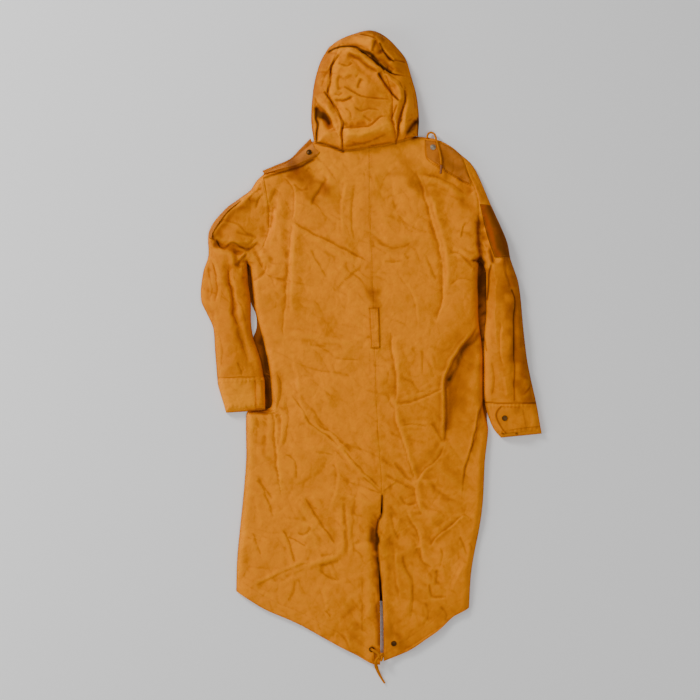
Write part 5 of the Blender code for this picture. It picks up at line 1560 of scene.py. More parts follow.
# ------------------------------------------------------------------ what is set on the cloth
class Surface:
    """The top of the finished cloth, found from above."""

    def __init__(self, carriers: Sequence[bpy.types.Object]) -> None:
        """Reads the pieces.

        Args:
            carriers: the pieces that carry what is set on them.
        """
        self.trees = []
        for carrier in carriers:
            mesh = carrier.data
            corners = np.zeros(3 * len(mesh.vertices))
            mesh.vertices.foreach_get("co", corners)
            faces = [face.vertices[:] for face in mesh.polygons]
            self.trees.append(BVHTree.FromPolygons(corners.reshape(-1, 3).tolist(), faces))

    def at(self, x: float, y: float) -> tuple[Vector, Vector] | None:
        """The highest point over a place in plan, and the way the cloth looks there.

        Args:
            x: the place's X, in metres of the row's frame.
            y: its Y.

        Returns:
            The point and the normal, or None beside the cloth.
        """
        best = None
        for tree in self.trees:
            point, normal, _, _ = tree.ray_cast(Vector((x, y, 1)), Vector((0, 0, -1)))
            if point and (best is None or point.z > best[0].z):
                best = (point, normal)
        return best


@dataclass(frozen=True)
class Seam:
    """A row of stitches: its path in plan, how far it is moved to the path's right, and how many rows."""

    path: Route
    inset: float = 0.0
    rows: int = 1


def beside(path: Route, away: float) -> Grid:
    """A smooth path moved to its right by a distance."""
    dense = dense_curve(path, 8) if len(path) > 2 else along(path, even(8))
    run = np.gradient(dense, axis=0)
    lengths = np.maximum(np.linalg.norm(run, axis=1), TINY)[:, None]
    return dense + away * (np.column_stack([run[:, 1], -run[:, 0]]) / lengths)


@dataclass
class Stitching:
    """Rows of stitches as one joined mesh of small spindles that lie on the cloth."""

    name: str
    seams: Sequence[Seam]
    surface: Surface
    pitch: float = 3.4
    length: float = 2.5
    radius: float = 0.27
    row_gap: float = 6.0
    lift: float = 0.12
    steepest: float = 0.25

    def spindle(self, start: Vector, end: Vector, normal: Vector) -> list[Vector]:
        """The corners of one stitch: its two ends and a ring of four round its middle."""
        across = (end - start).cross(normal).normalized() * self.radius * MM * 1.25
        up = normal * self.radius * MM
        middle = 0.5 * (start + end)
        return [start, end, middle + across, middle + up, middle - across, middle - 0.6 * up]

    def build(self, material: bpy.types.Material) -> bpy.types.Object:
        """Makes the stitches.

        Args:
            material: the thread's finish.

        Returns:
            The joined piece.
        """
        corners: list[Vector] = []
        faces: list[tuple[int, ...]] = []
        for seam in self.seams:
            for row in range(seam.rows):
                dense = beside(seam.path, seam.inset + row * self.row_gap)
                total = whole_length(dense)
                count = max(2, round(total / self.pitch))
                half = 0.5 * self.length / total
                for middle in (np.arange(count) + 0.5) / count:
                    ends = in_row(np.pad(along_line(dense, (middle - half, middle + half)), ((0, 0), (0, 1))))
                    hits = [self.surface.at(*end[:2]) for end in ends]
                    if not all(hits):
                        continue
                    normal = (hits[0][1] + hits[1][1]).normalized()
                    if normal.z < self.steepest:
                        continue
                    lift = normal * self.lift * MM
                    first = len(corners)
                    corners += self.spindle(hits[0][0] + lift, hits[1][0] + lift, normal)
                    ring = [(first + 2 + n, first + 2 + (n + 1) % 4) for n in range(4)]
                    faces += [(first, *side) for side in ring] + [(first + 1, *side[::-1]) for side in ring]
        mesh = bpy.data.meshes.new(self.name)
        mesh.from_pydata([corner[:] for corner in corners], [], faces)
        mesh.materials.append(material)
        made = linked(self.name, mesh)
        face_outwards(made)
        mesh.shade_smooth()
        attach(made, BODY)
        LOG.info("%s: %d stitches", self.name, len(faces) // 8)
        return made


BODY_SEAMS = (
    Seam(CENTRE_SEAM[:-1], -3.0),
    Seam(CENTRE_SEAM[:-1], 3.2),
    Seam(((20, -760), (15, -808), (9, -850), (14, -900), (20, -995), (25, -1124)), -7.0),
    Seam(HEM_TAIL_LEFT[:-1], -26.0),
    Seam(HEM_TAIL_LEFT[:-1], -3.0),
    Seam(HEM_TAIL_RIGHT, 26.0),
    Seam(HEM_TAIL_RIGHT, 3.0),
    Seam(((-21, -1006), (-24, -1040), (-22, -1086))),
    Seam(((8, -751), (21, -762), (32, -748))),
    Seam(((-6, -446), (-5, -500)), 0),
    Seam(((13, -446), (15, -500)), 0),
    Seam(ARMHOLE_LEFT[:-1], 4.5),
    Seam(ARMHOLE_RIGHT[:-1], -4.5),
)
SLEEVE_SEAMS = (
    Seam((CUFF_LEFT_OUTER[0], CUFF_LEFT_INNER[0]), 3.5, 2),
    Seam((CUFF_LEFT_OUTER[-1], CUFF_LEFT_INNER[-1]), -13.0),
    Seam((CUFF_RIGHT_OUTER[0], CUFF_RIGHT_INNER[0]), -3.5),
    Seam((CUFF_RIGHT_OUTER[0], CUFF_RIGHT_INNER[0]), -9.5),
    Seam((CUFF_RIGHT_OUTER[-1], CUFF_RIGHT_INNER[-1]), 13.0),
    Seam(CUFF_TAB_LEFT_OUTER, 2.2),
    Seam(CUFF_TAB_LEFT_INNER, -2.2),
    Seam(CUFF_TAB_RIGHT_INNER, -3.0),
)
HOOD_SEAMS = (
    Seam(HOOD_SEAM_LEFT, -3.5),
    Seam(HOOD_SEAM_LEFT, 3.5),
    Seam(HOOD_SEAM_RIGHT, -3.5),
    Seam(HOOD_SEAM_RIGHT, 3.5),
    Seam(VISOR_SEAM[1:-1], -2.0),
    Seam(HOOD_CROWN[1:-1], 9.0),
    Seam(HOOD_HEM[1:-1], -3.0),
)
TRIM_SEAMS = (
    Seam(STRAP_LEFT_OUTER, 3.0),
    Seam(STRAP_LEFT_INNER, -3.0),
    Seam(STRAP_LEFT_POINT, 3.0),
    Seam(STRAP_RIGHT_OUTER, -3.0),
    Seam(STRAP_RIGHT_INNER, 3.0),
    Seam(((118, 14), (121, -14)), -3.0),
    Seam(((150, 9), (149, -28))),
    Seam((BACK_LOOP_TOP[0], BACK_LOOP_BOTTOM[0]), -2.5),
    Seam((BACK_LOOP_TOP[1], BACK_LOOP_BOTTOM[1]), 2.5),
    Seam(BACK_LOOP_TOP, 2.0, 3),
    Seam(BACK_LOOP_BOTTOM, -14.0, 3),
    Seam(ARM_PATCH_RIGHT_OUTER, 2.4),
    Seam(ARM_PATCH_RIGHT_INNER, -2.4),
    Seam((ARM_PATCH_RIGHT_INNER[0], ARM_PATCH_RIGHT_OUTER[0]), 2.4),
    Seam((ARM_PATCH_RIGHT_INNER[-1], ARM_PATCH_RIGHT_OUTER[-1]), -2.4),
)


def stand(made: bpy.types.Object, place: Vector | tuple[float, ...], way: Vector) -> None:
    """Puts a piece that was made at the origin at its place, looking its way, and applies both."""
    turn = UPWARDS.rotation_difference(way).to_matrix().to_4x4()
    made.matrix_world = Matrix.Translation(place) @ turn
    bpy.ops.object.transform_apply(location=True, rotation=True, scale=True)


def soften_edges(made: bpy.types.Object, width: float, segments: int) -> None:
    """Bevels the sharp edges of a piece."""
    bevel = made.modifiers.new("edge", "BEVEL")
    bevel.width, bevel.segments, bevel.limit_method = width, segments, "ANGLE"
    bpy.ops.object.modifier_apply(modifier=bevel.name)


def rolled_ring(radius: float, wire: float, place: tuple[float, ...]) -> bpy.types.Object:
    """A ring of round wire, flat at its place, in metres."""
    bpy.ops.mesh.primitive_torus_add(
        major_segments=48, minor_segments=12, major_radius=radius, minor_radius=wire, location=place
    )
    return bpy.context.object


@dataclass
class Stud:
    """A press stud's cap: a dished disc in a rolled rim."""

    name: str
    place: tuple[float, float]
    radius: float = 6.4
    height: float = 2.2
    rise: float = 0.0003

    def build(self, surface: Surface, material: bpy.types.Material) -> bpy.types.Object:
        """Makes the cap and sets it on the cloth.

        Args:
            surface: the cloth that carries it.
            material: its finish.

        Returns:
            The cap.
        """
        x, y = (self.place[0] * MM + NAPE[0], self.place[1] * MM + NAPE[1])
        tops = [surface.at(x + dx * MM, y + dy * MM) for dx, dy in ((5, 0), (-5, 0), (0, 5), (0, -5), (0, 0))]
        heights = [hit[0].z if hit else 0.0 for hit in tops]
        lean = Vector((heights[1] - heights[0], heights[3] - heights[2], 0.010)).normalized()
        base = max(heights[4], sum(heights[:2]) / 2, sum(heights[2:4]) / 2) + self.rise
        parts = self.parts()
        bpy.ops.object.select_all(action="DESELECT")
        for part in parts:
            part.select_set(True)
        bpy.context.view_layer.objects.active = parts[0]
        bpy.ops.object.join()
        made = bpy.context.view_layer.objects.active
        made.name = made.data.name = f"{self.name}_cap"
        made.data.materials.clear()
        made.data.materials.append(material)
        stand(made, (x, y, base), lean)
        bpy.ops.object.shade_smooth_by_angle(angle=0.7)
        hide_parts(self.name)
        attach(made, BODY)
        LOG.info("%s: at %.3f, %.3f, %.4f", made.name, x, y, base)
        return made

    def parts(self) -> list[bpy.types.Object]:
        """The disc, its rim and the boss in its middle, at the origin."""
        radius, height = self.radius * MM, self.height * MM
        bpy.ops.mesh.primitive_cylinder_add(vertices=48, radius=radius * 0.9, depth=height * 0.6,
                                            location=(0, 0, height * 0.3))
        disc = bpy.context.object
        soften_edges(disc, height * 0.12, 2)
        rim = rolled_ring(radius * 0.86, height * 0.32, (0, 0, height * 0.5))
        bpy.ops.mesh.primitive_uv_sphere_add(segments=32, ring_count=12, radius=radius * 0.5,
                                             location=(0, 0, height * 0.5))
        boss = bpy.context.object
        boss.scale = (1, 1, 0.24)
        bpy.ops.object.transform_apply(location=False, rotation=False, scale=True)
        return [disc, rim, boss]


@dataclass
class Eyelet:
    """A rolled ring round the cord's hole in the hem."""

    node: str = "hem_eyelet"
    radius: float = 4.7
    wire: float = 1.35
    rise: float = 0.0005

    def build(self, surface: Surface, material: bpy.types.Material) -> bpy.types.Object:
        """Makes the ring.

        Args:
            surface: the cloth that carries it.
            material: its finish.

        Returns:
            The ring.
        """
        x, y = EYELET[0] * MM + NAPE[0], EYELET[1] * MM + NAPE[1]
        hit = surface.at(x, y)
        base = hit[0].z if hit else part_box(self.node)[0][2]
        bpy.ops.object.select_all(action="DESELECT")
        made = rolled_ring(self.radius * MM, self.wire * MM, (x, y, base + self.rise))
        made.name = made.data.name = "hem_eyelet_ring"
        bpy.ops.object.transform_apply(location=True, rotation=True, scale=True)
        bpy.ops.object.shade_smooth()
        made.data.materials.append(material)
        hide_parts(self.node)
        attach(made, BODY)
        LOG.info("%s: at %.3f, %.3f, %.4f", made.name, x, y, base)
        return made


# ------------------------------------------------------------------ cords
def tube_mesh(name: str, line: Grid, radii: Grid, around: int, closed: bool = False,
              highest: float = 1.0) -> bpy.types.Object:
    """A round tube along a line, in metres.

    Args:
        name: the piece's name.
        line: the centre of each ring.
        radii: the radius of each ring.
        around: how many points each ring has.
        closed: whether it joins its own start.
        highest: the most that it rises from its middle.

    Returns:
        The object.
    """
    count = len(line)
    runs = np.roll(line, -1, axis=0) - np.roll(line, 1, axis=0) if closed else np.gradient(line, axis=0)
    runs /= np.linalg.norm(runs, axis=1)[:, None]
    angles = (np.arange(around) * 2 * np.pi / around)[:, None]
    corners = []
    side = np.cross(runs[0], UPWARDS)
    side /= max(np.linalg.norm(side), TINY)
    for centre, run, radius in zip(line, runs, radii):
        side = side - np.dot(side, run) * run
        side /= np.linalg.norm(side)
        lift = np.cross(side, run)
        corners.append(centre + radius * np.cos(angles) * side + min(radius, highest) * np.sin(angles) * lift)
    at = np.arange(count * around).reshape(count, around)
    past = np.roll(at, -1, axis=1)
    following, following_past = np.roll(at, -1, axis=0), np.roll(past, -1, axis=0)
    last = count if closed else count - 1
    quads = np.stack([at, past, following_past, following], axis=-1)[:last].reshape(-1, 4).tolist()
    if not closed:
        quads += [tuple(at[0][::-1].tolist()), tuple(at[-1].tolist())]
    mesh = bpy.data.meshes.new(name)
    mesh.from_pydata(np.vstack(corners).tolist(), [], quads)
    reach = reached(line)
    layer = mesh.uv_layers.new(name="UVMap")
    for polygon in mesh.polygons:
        for loop in polygon.loop_indices:
            ring, spoke = divmod(mesh.loops[loop].vertex_index, around)
            layer.data[loop].uv = (spoke / around, reach[ring])
    made = linked(name, mesh)
    face_outwards(made)
    mesh.shade_smooth()
    mesh.set_sharp_from_angle(angle=1.0)
    return made


@dataclass
class Cords:
    """The hood's drawcord with its leather tip, and the knotted cord at the hem."""

    cotton: bpy.types.Material
    leather: bpy.types.Material
    around: int = 16
    rings: int = 90
    tip_radii: tuple[float, float] = (0.0032, 0.0026)
    tip_edge: float = 0.0007
    knot_reach: tuple[float, float, float] = (1.9, 3.0, 1.5)
    knot_radius: float = 0.0024

    def strung(self, name: str, node: str, route: Route, halves: Route) -> bpy.types.Object:
        """A cord along its route.

        Args:
            name: its name.
            node: the CAD node that it replaces.
            route: its route, in millimetres.
            halves: how far it reaches across, at shares of its length.

        Returns:
            The cord.
        """
        line = in_row(along(route, even(self.rings)))
        shares, across = np.array(halves, dtype=float).T
        radii = np.interp(even(len(line) - 1), shares, across) * MM
        made = tube_mesh(name, line, radii, self.around, highest=CORD_RADIUS * MM)
        made.data.materials.append(self.cotton)
        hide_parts(node)
        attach(made, BODY)
        return made

    def tip(self) -> bpy.types.Object:
        """The leather tip, a wrapped cylinder that narrows towards its end."""
        start, end = (Vector(in_row(np.array(point))) for point in HOOD_CORD_TIP)
        wide, narrow = self.tip_radii
        bpy.ops.object.select_all(action="DESELECT")
        bpy.ops.mesh.primitive_cone_add(vertices=32, radius1=wide, radius2=narrow, depth=(end - start).length)
        made = bpy.context.object
        soften_edges(made, self.tip_edge, 3)
        stand(made, 0.5 * (start + end), end - start)
        bpy.ops.object.shade_smooth_by_angle(angle=0.7)
        made.name = made.data.name = "hood_cord_tip_wrap"
        made.data.materials.append(self.leather)
        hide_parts("hood_cord_tip")
        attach(made, BODY)
        return made

    def knot(self) -> bpy.types.Object:
        """An overhand knot in the hem's cord."""
        turns = np.linspace(0, 2 * np.pi, 96, endpoint=False)
        shape = np.column_stack([
            np.sin(turns) + 2 * np.sin(2 * turns), np.cos(turns) - 2 * np.cos(2 * turns),
            -1.3 * np.sin(3 * turns),
        ])
        line = in_row(np.array(KNOT) + shape * self.knot_reach)
        made = tube_mesh("hem_cord_knot", line, np.full(len(line), self.knot_radius), 12, closed=True)
        made.data.materials.append(self.cotton)
        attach(made, BODY)
        return made

    def build(self) -> None:
        """Makes both cords."""
        tip = self.tip()
        self.strung("hood_cord_line", "hood_cord", HOOD_CORD_ROUTE, HOOD_CORD_HALVES)
        knot = self.knot()
        self.strung("hem_cord_line", "hem_cord", HEM_CORD_ROUTE, HEM_CORD_HALVES)


# ------------------------------------------------------------------ finishes
def linear(red: float, green: float, blue: float) -> tuple[float, float, float, float]:
    """A colour of a screen, from 0 to 255, as the renderer takes it."""
    values = [channel / 255 for channel in (red, green, blue)]
    return (*[v / 12.92 if v <= 0.04045 else ((v + 0.055) / 1.055) ** 2.4 for v in values], 1.0)


class Graph:
    """Adds linked nodes to a tree of shader nodes."""

    def __init__(self, tree: bpy.types.NodeTree) -> None:
        """Keeps the tree that gets the nodes."""
        self.tree = tree

    def add(self, kind: str, inputs: dict | None = None, **settings: object) -> bpy.types.Node:
        """Adds a node.

        Args:
            kind: its type.
            inputs: values or sockets for its inputs, by name or number.
            **settings: its own settings.

        Returns:
            The node.
        """
        node = self.tree.nodes.new(kind)
        for key, value in settings.items():
            setattr(node, key, value)
        for key, value in (inputs or {}).items():
            if isinstance(value, bpy.types.NodeSocket):
                self.tree.links.new(value, node.inputs[key])
            else:
                node.inputs[key].default_value = value
        return node

    def math(self, operation: str, *values: object) -> bpy.types.NodeSocket:
        """The result of a sum on values or sockets."""
        return self.add("ShaderNodeMath", dict(enumerate(values)), operation=operation).outputs[0]

    def blend(self, share: object, first: object, second: object) -> bpy.types.NodeSocket:
        """A colour between two, by a share from 0 to 1."""
        return self.add("ShaderNodeMix", {0: share, 6: first, 7: second}, data_type="RGBA").outputs[2]

    def scaled(self, value: object, factor: float) -> bpy.types.NodeSocket:
        """A value times a number."""
        return self.math("MULTIPLY", value, factor)

    def span(self, value: object, low: float, high: float, start: float = 0.0, end: float = 1.0
             ) -> bpy.types.NodeSocket:
        """A value carried from one span to another, and held at its ends."""
        return self.add("ShaderNodeMapRange", {0: value, 1: low, 2: high, 3: start, 4: end}).outputs[0]

    def noise(self, vector: object, scale: float, detail: float = 3.0, distortion: float = 0.0
              ) -> bpy.types.NodeSocket:
        """Noise from 0 to 1."""
        wanted = {"Vector": vector, "Scale": scale, "Detail": detail, "Distortion": distortion}
        return self.add("ShaderNodeTexNoise", wanted).outputs[0]

    def mask(self, name: str) -> bpy.types.NodeSocket:
        """A value kept at the points of the mesh."""
        return self.add("ShaderNodeAttribute", attribute_name=name).outputs["Fac"]


def value_group(name: str, inputs: dict[str, str], outputs: dict[str, str]) -> tuple[Graph, dict, dict]:
    """A new group of shader nodes.

    Args:
        name: its name.
        inputs: its inputs and their socket types.
        outputs: its outputs and their socket types.

    Returns:
        Its graph, its inputs' sockets and its outputs' sockets.
    """
    tree = bpy.data.node_groups.new(name, "ShaderNodeTree")
    for in_out, sockets in (("INPUT", inputs), ("OUTPUT", outputs)):
        for socket, kind in sockets.items():
            tree.interface.new_socket(socket, in_out=in_out, socket_type=kind)
    start, end = tree.nodes.new("NodeGroupInput"), tree.nodes.new("NodeGroupOutput")
    return Graph(tree), {key: start.outputs[key] for key in inputs}, {key: end.inputs[key] for key in outputs}


def mottle_group() -> bpy.types.NodeTree:
    """Broad and fine patches of wear over Object coordinates."""
    graph, given, wanted = value_group(
        "mottle", {"Vector": "NodeSocketVector"}, {"Broad": "NodeSocketFloat", "Fine": "NodeSocketFloat"}
    )
    broad = graph.noise(given["Vector"], 9.0, 4.0, 0.6)
    fine = graph.noise(given["Vector"], 70.0, 5.0, 0.3)
    graph.tree.links.new(graph.span(broad, 0.32, 0.68), wanted["Broad"])
    graph.tree.links.new(graph.span(fine, 0.3, 0.7), wanted["Fine"])
    return graph.tree


def weave_group() -> bpy.types.NodeTree:
    """The height of a plain weave over UVs in metres."""
    graph, given, wanted = value_group(
        "weave", {"UV": "NodeSocketVector", "Threads": "NodeSocketFloat"}, {"Height": "NodeSocketFloat"}
    )
    parts = graph.add("ShaderNodeSeparateXYZ", {0: given["UV"]})
    waves = [graph.math("SINE", graph.math("MULTIPLY", part, given["Threads"])) for part in parts.outputs[:2]]
    crossed = graph.math("MULTIPLY", *waves)
    graph.tree.links.new(graph.span(crossed, -1.0, 1.0), wanted["Height"])
    return graph.tree


def crinkle_group() -> bpy.types.NodeTree:
    """Crisp facets of two sizes and grain in the cloth, over Object coordinates."""
    graph, given, wanted = value_group(
        "crinkle", {"Vector": "NodeSocketVector"}, {"Height": "NodeSocketFloat"}
    )
    strayed = graph.add("ShaderNodeTexNoise", {"Vector": given["Vector"], "Scale": 22.0, "Detail": 3.0})
    shifted = graph.add("ShaderNodeVectorMath", {0: strayed.outputs["Color"], 1: (0.035, 0.035, 0.035)},
                        operation="MULTIPLY")
    place = graph.add("ShaderNodeVectorMath", {0: given["Vector"], 1: shifted.outputs[0]}, operation="ADD")
    height = graph.scaled(graph.noise(given["Vector"], 260.0, 3.0), 0.14)
    for scale, share in ((17.0, 1.0), (46.0, 0.3)):
        cells = graph.add("ShaderNodeTexVoronoi", {"Vector": place.outputs[0], "Scale": scale},
                          feature="DISTANCE_TO_EDGE")
        facets = graph.scaled(graph.span(cells.outputs["Distance"], 0.0, 0.45), share)
        height = graph.math("ADD", height, facets)
    graph.tree.links.new(height, wanted["Height"])
    return graph.tree


def begun(name: str, mottle_tree: bpy.types.NodeTree) -> tuple:
    """A new material with the group of wear.

    Args:
        name: its name.
        mottle_tree: the group.

    Returns:
        The material, its graph, its shader, its coordinates, and the sockets of broad and of fine wear.
    """
    material = bpy.data.materials.new(name)
    material.use_nodes = True
    graph = Graph(material.node_tree)
    coordinates = graph.add("ShaderNodeTexCoord")
    mottle = graph.add("ShaderNodeGroup", node_tree=mottle_tree)
    graph.tree.links.new(coordinates.outputs["Object"], mottle.inputs["Vector"])
    shader = material.node_tree.nodes["Principled BSDF"]
    return material, graph, shader, coordinates, (mottle.outputs["Broad"], mottle.outputs["Fine"])


@dataclass(frozen=True)
class ClothFinish:
    """A dry-finish cotton with worn, mottled colour and real stains, and with painted shade and light: its
    masks blend towards the deep, worn and shade colours.
    """

    name: str
    base: tuple[float, float, float]
    deep: tuple[float, float, float]
    worn: tuple[float, float, float]
    stain: tuple[float, float, float]
    shade: tuple[float, float, float] = (50, 23, 3)
    stain_all: float = 0.0
    most_stain: float = 0.85
    roughness: float = 0.74
    weave: float = 2 * np.pi / 0.0009

    def build(self, groups: dict[str, bpy.types.NodeTree]) -> bpy.types.Material:
        """Makes the material.

        Args:
            groups: the shared groups by name.

        Returns:
            The material.
        """
        material, graph, shader, coordinates, (broad, fine) = begun(self.name, groups["mottle"])
        base, deep, worn = linear(*self.base), linear(*self.deep), linear(*self.worn)
        painted_shading = graph.mask("painted_shading")
        colour = base
        # The mottle is wear; the painted shading mask paints shade towards the deep colour and light towards
        # the worn one
        for value, low, high, share, other in (
            (broad, 0.5, 1.0, 0.22, deep), (fine, 0.45, 1.0, 0.12, deep), (fine, 0.5, 0.0, 0.14, worn),
            (painted_shading, 0.0, -1.0, 0.75, deep), (painted_shading, 0.0, 1.0, 0.45, worn),
        ):
            colour = graph.blend(graph.scaled(graph.span(value, low, high), share), colour, other)
        # Painted shade in the hollows towards the deep colour, and paler rubbed ridges
        for name, low, high, least, share, other in (
            ("crease_shade", 0.0, 1.0, 0.65, 0.75, deep), ("ridge", 1.0, 0.0, 0.6, 0.4, worn),
        ):
            strength = graph.math("MULTIPLY", graph.mask(name), graph.span(fine, low, high, least, 1.0))
            colour = graph.blend(graph.scaled(strength, share), colour, other)
        wet = graph.math("MULTIPLY", graph.math("ADD", graph.mask("stain"), self.stain_all),
                         graph.span(broad, 0.0, 1.0, 0.45, 1.1))
        wet = graph.math("MINIMUM", graph.scaled(wet, self.most_stain), self.most_stain)
        colour = graph.blend(wet, colour, linear(*self.stain))
        shadow = graph.scaled(graph.span(painted_shading, -1.0, -2.0), 0.85)
        graph.tree.links.new(graph.blend(shadow, colour, linear(*self.shade)), shader.inputs["Base Color"])
        rough = graph.span(fine, 0.0, 1.0, self.roughness - 0.08, self.roughness + 0.08)
        graph.tree.links.new(rough, shader.inputs["Roughness"])
        weave = graph.add("ShaderNodeGroup", {"Threads": self.weave}, node_tree=groups["weave"])
        graph.tree.links.new(coordinates.outputs["UV"], weave.inputs["UV"])
        crinkle = graph.add("ShaderNodeGroup", node_tree=groups["crinkle"])
        graph.tree.links.new(coordinates.outputs["Object"], crinkle.inputs["Vector"])
        coarse = graph.add(
            "ShaderNodeBump", {"Strength": 0.7, "Distance": 0.0026, "Height": crinkle.outputs["Height"]}
        )
        grain = graph.add("ShaderNodeBump", {
            "Strength": 0.35, "Distance": 0.00012, "Height": weave.outputs["Height"],
            "Normal": coarse.outputs["Normal"],
        })
        graph.tree.links.new(grain.outputs["Normal"], shader.inputs["Normal"])
        shader.inputs["Specular IOR Level"].default_value = 0.05
        return material


@dataclass(frozen=True)
class HardFinish:
    """A plain finish of metal, leather or thread with a little wear."""

    name: str
    base: tuple[float, float, float]
    worn: tuple[float, float, float]
    roughness: float
    metallic: float = 0.0

    def build(self, groups: dict[str, bpy.types.NodeTree]) -> bpy.types.Material:
        """Makes the material.

        Args:
            groups: the shared groups by name.

        Returns:
            The material.
        """
        material, graph, shader, _, (_, fine) = begun(self.name, groups["mottle"])
        colour = graph.blend(graph.span(fine, 0.4, 1.0), linear(*self.base), linear(*self.worn))
        graph.tree.links.new(colour, shader.inputs["Base Color"])
        rough = graph.span(fine, 0.0, 1.0, self.roughness - 0.06, self.roughness + 0.1)
        graph.tree.links.new(rough, shader.inputs["Roughness"])
        shader.inputs["Metallic"].default_value = self.metallic
        return material


COTTON = ClothFinish("ochre dry-finish cotton", (238, 136, 0), (146, 68, 0), (246, 157, 0), (138, 60, 12))
CORD_COTTON = ClothFinish("cord cotton", (196, 112, 4), (120, 56, 0), (216, 138, 14), (120, 60, 14))
STRAP_COTTON = ClothFinish(
    "stained strap cotton", (206, 116, 20), (150, 70, 10), (222, 146, 70), (128, 70, 30), stain_all=0.3
)
# The right arm patch: a browner cloth, worn, and darkened further as painted shade
PATCH_COTTON = ClothFinish(
    "brown patch cotton", (134, 72, 0), (102, 56, 0), (186, 76, 8), (92, 42, 4), roughness=0.8
)
THREAD = HardFinish("ochre thread", (214, 122, 6), (176, 90, 4), 0.7)
BRONZE = HardFinish("dark bronze", (78, 48, 14), (110, 76, 34), 0.42, 0.85)
SILVER = HardFinish("worn silver stud", (168, 152, 128), (120, 96, 70), 0.4, 0.85)
LEATHER = HardFinish("brown leather", (140, 76, 20), (112, 58, 14), 0.55)


# ------------------------------------------------------------------ studio
@dataclass
class Studio:
    """A pale floor, soft lights from the photo's upper left and the camera straight above."""

    middle: tuple[float, float] = (-0.0472, -0.0058)
    height: float = 3.02
    lens: float = 70.0
    daylight: float = 0.32
    floor_tone: float = 0.93
    lights: tuple[tuple, ...] = (
        ("key", (-2.3, 2.4, 1.9), 0.9, 90), ("side", (-2.3, -0.5, 1.2), 1.2, 20),
        ("fill", (0.9, -1.0, 3.0), 2.0, 27),
    )

    def light(self, name: str, place: tuple[float, float, float], size: float, power: float) -> None:
        """A soft square light that looks at the garment."""
        data = bpy.data.lights.new(name, "AREA")
        data.size, data.energy = size, power
        made = linked(name, data)
        made.location = place
        aim = Vector((*self.middle, 0)) - Vector(place)
        made.rotation_euler = aim.to_track_quat("-Z", "Y").to_euler()

    def build(self) -> None:
        """Makes the floor, the lights, the world and the camera."""
        bpy.ops.mesh.primitive_plane_add(size=8, location=(*self.middle, -0.0005))
        floor = bpy.context.object
        floor.name = "floor"
        pale = bpy.data.materials.new("pale floor")
        pale.use_nodes = True
        shader = pale.node_tree.nodes["Principled BSDF"]
        shader.inputs["Base Color"].default_value = (*3 * (self.floor_tone,), 1)
        shader.inputs["Roughness"].default_value = 0.9
        floor.data.materials.append(pale)
        for light in self.lights:
            self.light(*light)
        world = bpy.data.worlds.new("soft day")
        world.use_nodes = True
        background = world.node_tree.nodes["Background"]
        background.inputs[0].default_value, background.inputs[1].default_value = (1, 1, 1, 1), self.daylight
        bpy.context.scene.world = world
        data = bpy.data.cameras.new("above")
        data.lens, data.sensor_width = self.lens, 36.0
        camera = linked("above", data)
        camera.location = (*self.middle, self.height)
        bpy.context.scene.camera = camera


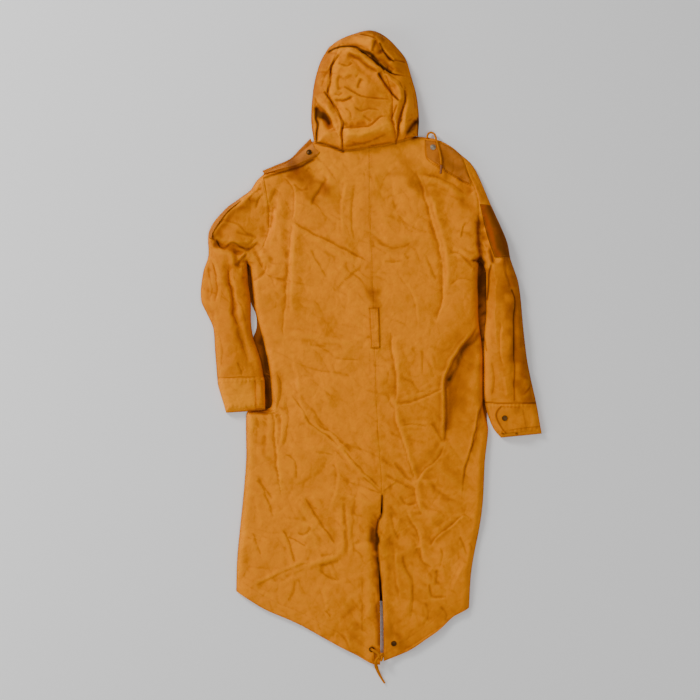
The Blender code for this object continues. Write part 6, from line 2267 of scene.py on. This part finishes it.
# ------------------------------------------------------------------ the whole
def body_lie() -> Lie:
    """The lie of the body, the sleeves and the straps."""
    edges = (
        SHOULDER_LEFT, SLEEVE_LEFT_OUTER, CUFF_LEFT_OUTER, CUFF_LEFT_INNER[::-1], SLEEVE_LEFT_INNER[::-1],
        SIDE_LEFT, (SIDE_LEFT[-1], (-301, -1300), (215, -1300), SIDE_RIGHT[-1]), SIDE_RIGHT[::-1],
        SLEEVE_RIGHT_INNER, CUFF_RIGHT_INNER, CUFF_RIGHT_OUTER[::-1], SLEEVE_RIGHT_OUTER[::-1],
        SHOULDER_RIGHT[::-1], (SHOULDER_RIGHT[0], (93, 200), (-122, 200), SHOULDER_LEFT[0]),
    )
    seams = (
        (0.1, CENTRE_SEAM), (0.35, ARMHOLE_LEFT), (0.6, ARMHOLE_RIGHT),
        (0.05, tuple(map(tuple, beside(HEM_TAIL_LEFT, -26.0)[::8]))),
        (0.05, tuple(map(tuple, beside(HEM_TAIL_RIGHT, 26.0)[::8]))),
    )
    return Lie(
        edges, BODY_LOFT, BODY_ROLL, BODY_POWER, BODY_FOLDS + SLEEVE_FOLDS,
        ((0.9, 1.7, BODY_CREASES), (1.0, 1.3, SLEEVE_CREASES)),
        Crumple(11, ((70, 3.6), (38, 2.1), (20, 1.0))), (HEM_TAIL_LEFT, HEM_TAIL_RIGHT), True, seams,
    )


def hood_lie() -> Lie:
    """The lie of the hood."""
    edges = (
        HOOD_SIDE_LEFT, (HOOD_SIDE_LEFT[-1], HOOD_CROWN[0]), HOOD_CROWN,
        (HOOD_CROWN[-1], HOOD_SIDE_RIGHT[-1]), HOOD_SIDE_RIGHT[::-1],
        tuple((x, y - HOOD_LIP) for x, y in HOOD_HEM[::-1]),
    )
    return Lie(
        edges, HOOD_LOFT, HOOD_ROLL, HOOD_POWER, HOOD_FOLDS, ((1.0, 1.0, HOOD_CREASES),),
        Crumple(23, ((46, 3.4), (25, 1.8), (13, 0.7))), seams=((0.9, HOOD_SEAM_LEFT), (0.9, HOOD_SEAM_RIGHT)),
    )


def main() -> None:
    """Builds the garment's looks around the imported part."""
    logging.basicConfig(level=logging.INFO, format="%(name)s %(message)s")
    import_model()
    groups = {"mottle": mottle_group(), "weave": weave_group(), "crinkle": crinkle_group()}
    cotton, strap_cotton = COTTON.build(groups), STRAP_COTTON.build(groups)
    thread, bronze = THREAD.build(groups), BRONZE.build(groups)
    laid = Laid(body_lie(), hood_lie(), cotton, PATCH_COTTON.build(groups), strap_cotton)
    fronts = Fronts(laid)
    fronts.build()
    backs = BackPanels(laid).build()
    sleeves = Sleeves(laid, fronts).build()
    hood = Hood(laid).build()
    trims = Trims(laid).build()
    whole = Surface([*backs.values(), *sleeves.values(), *hood.values(), *trims.values()])
    for name, seams in (
        ("body", BODY_SEAMS), ("sleeve", SLEEVE_SEAMS), ("hood", HOOD_SEAMS), ("trim", TRIM_SEAMS),
    ):
        Stitching(f"{name}_stitches", seams, whole).build(thread)
    silver = SILVER.build(groups)
    for name, place in STUDS.items():
        Stud(name, place).build(whole, silver if name == "strap_snap_right" else bronze)
    Eyelet().build(whole, bronze)
    Cords(CORD_COTTON.build(groups), LEATHER.build(groups)).build()
    Studio().build()


if __name__ == "__main__":
    main()
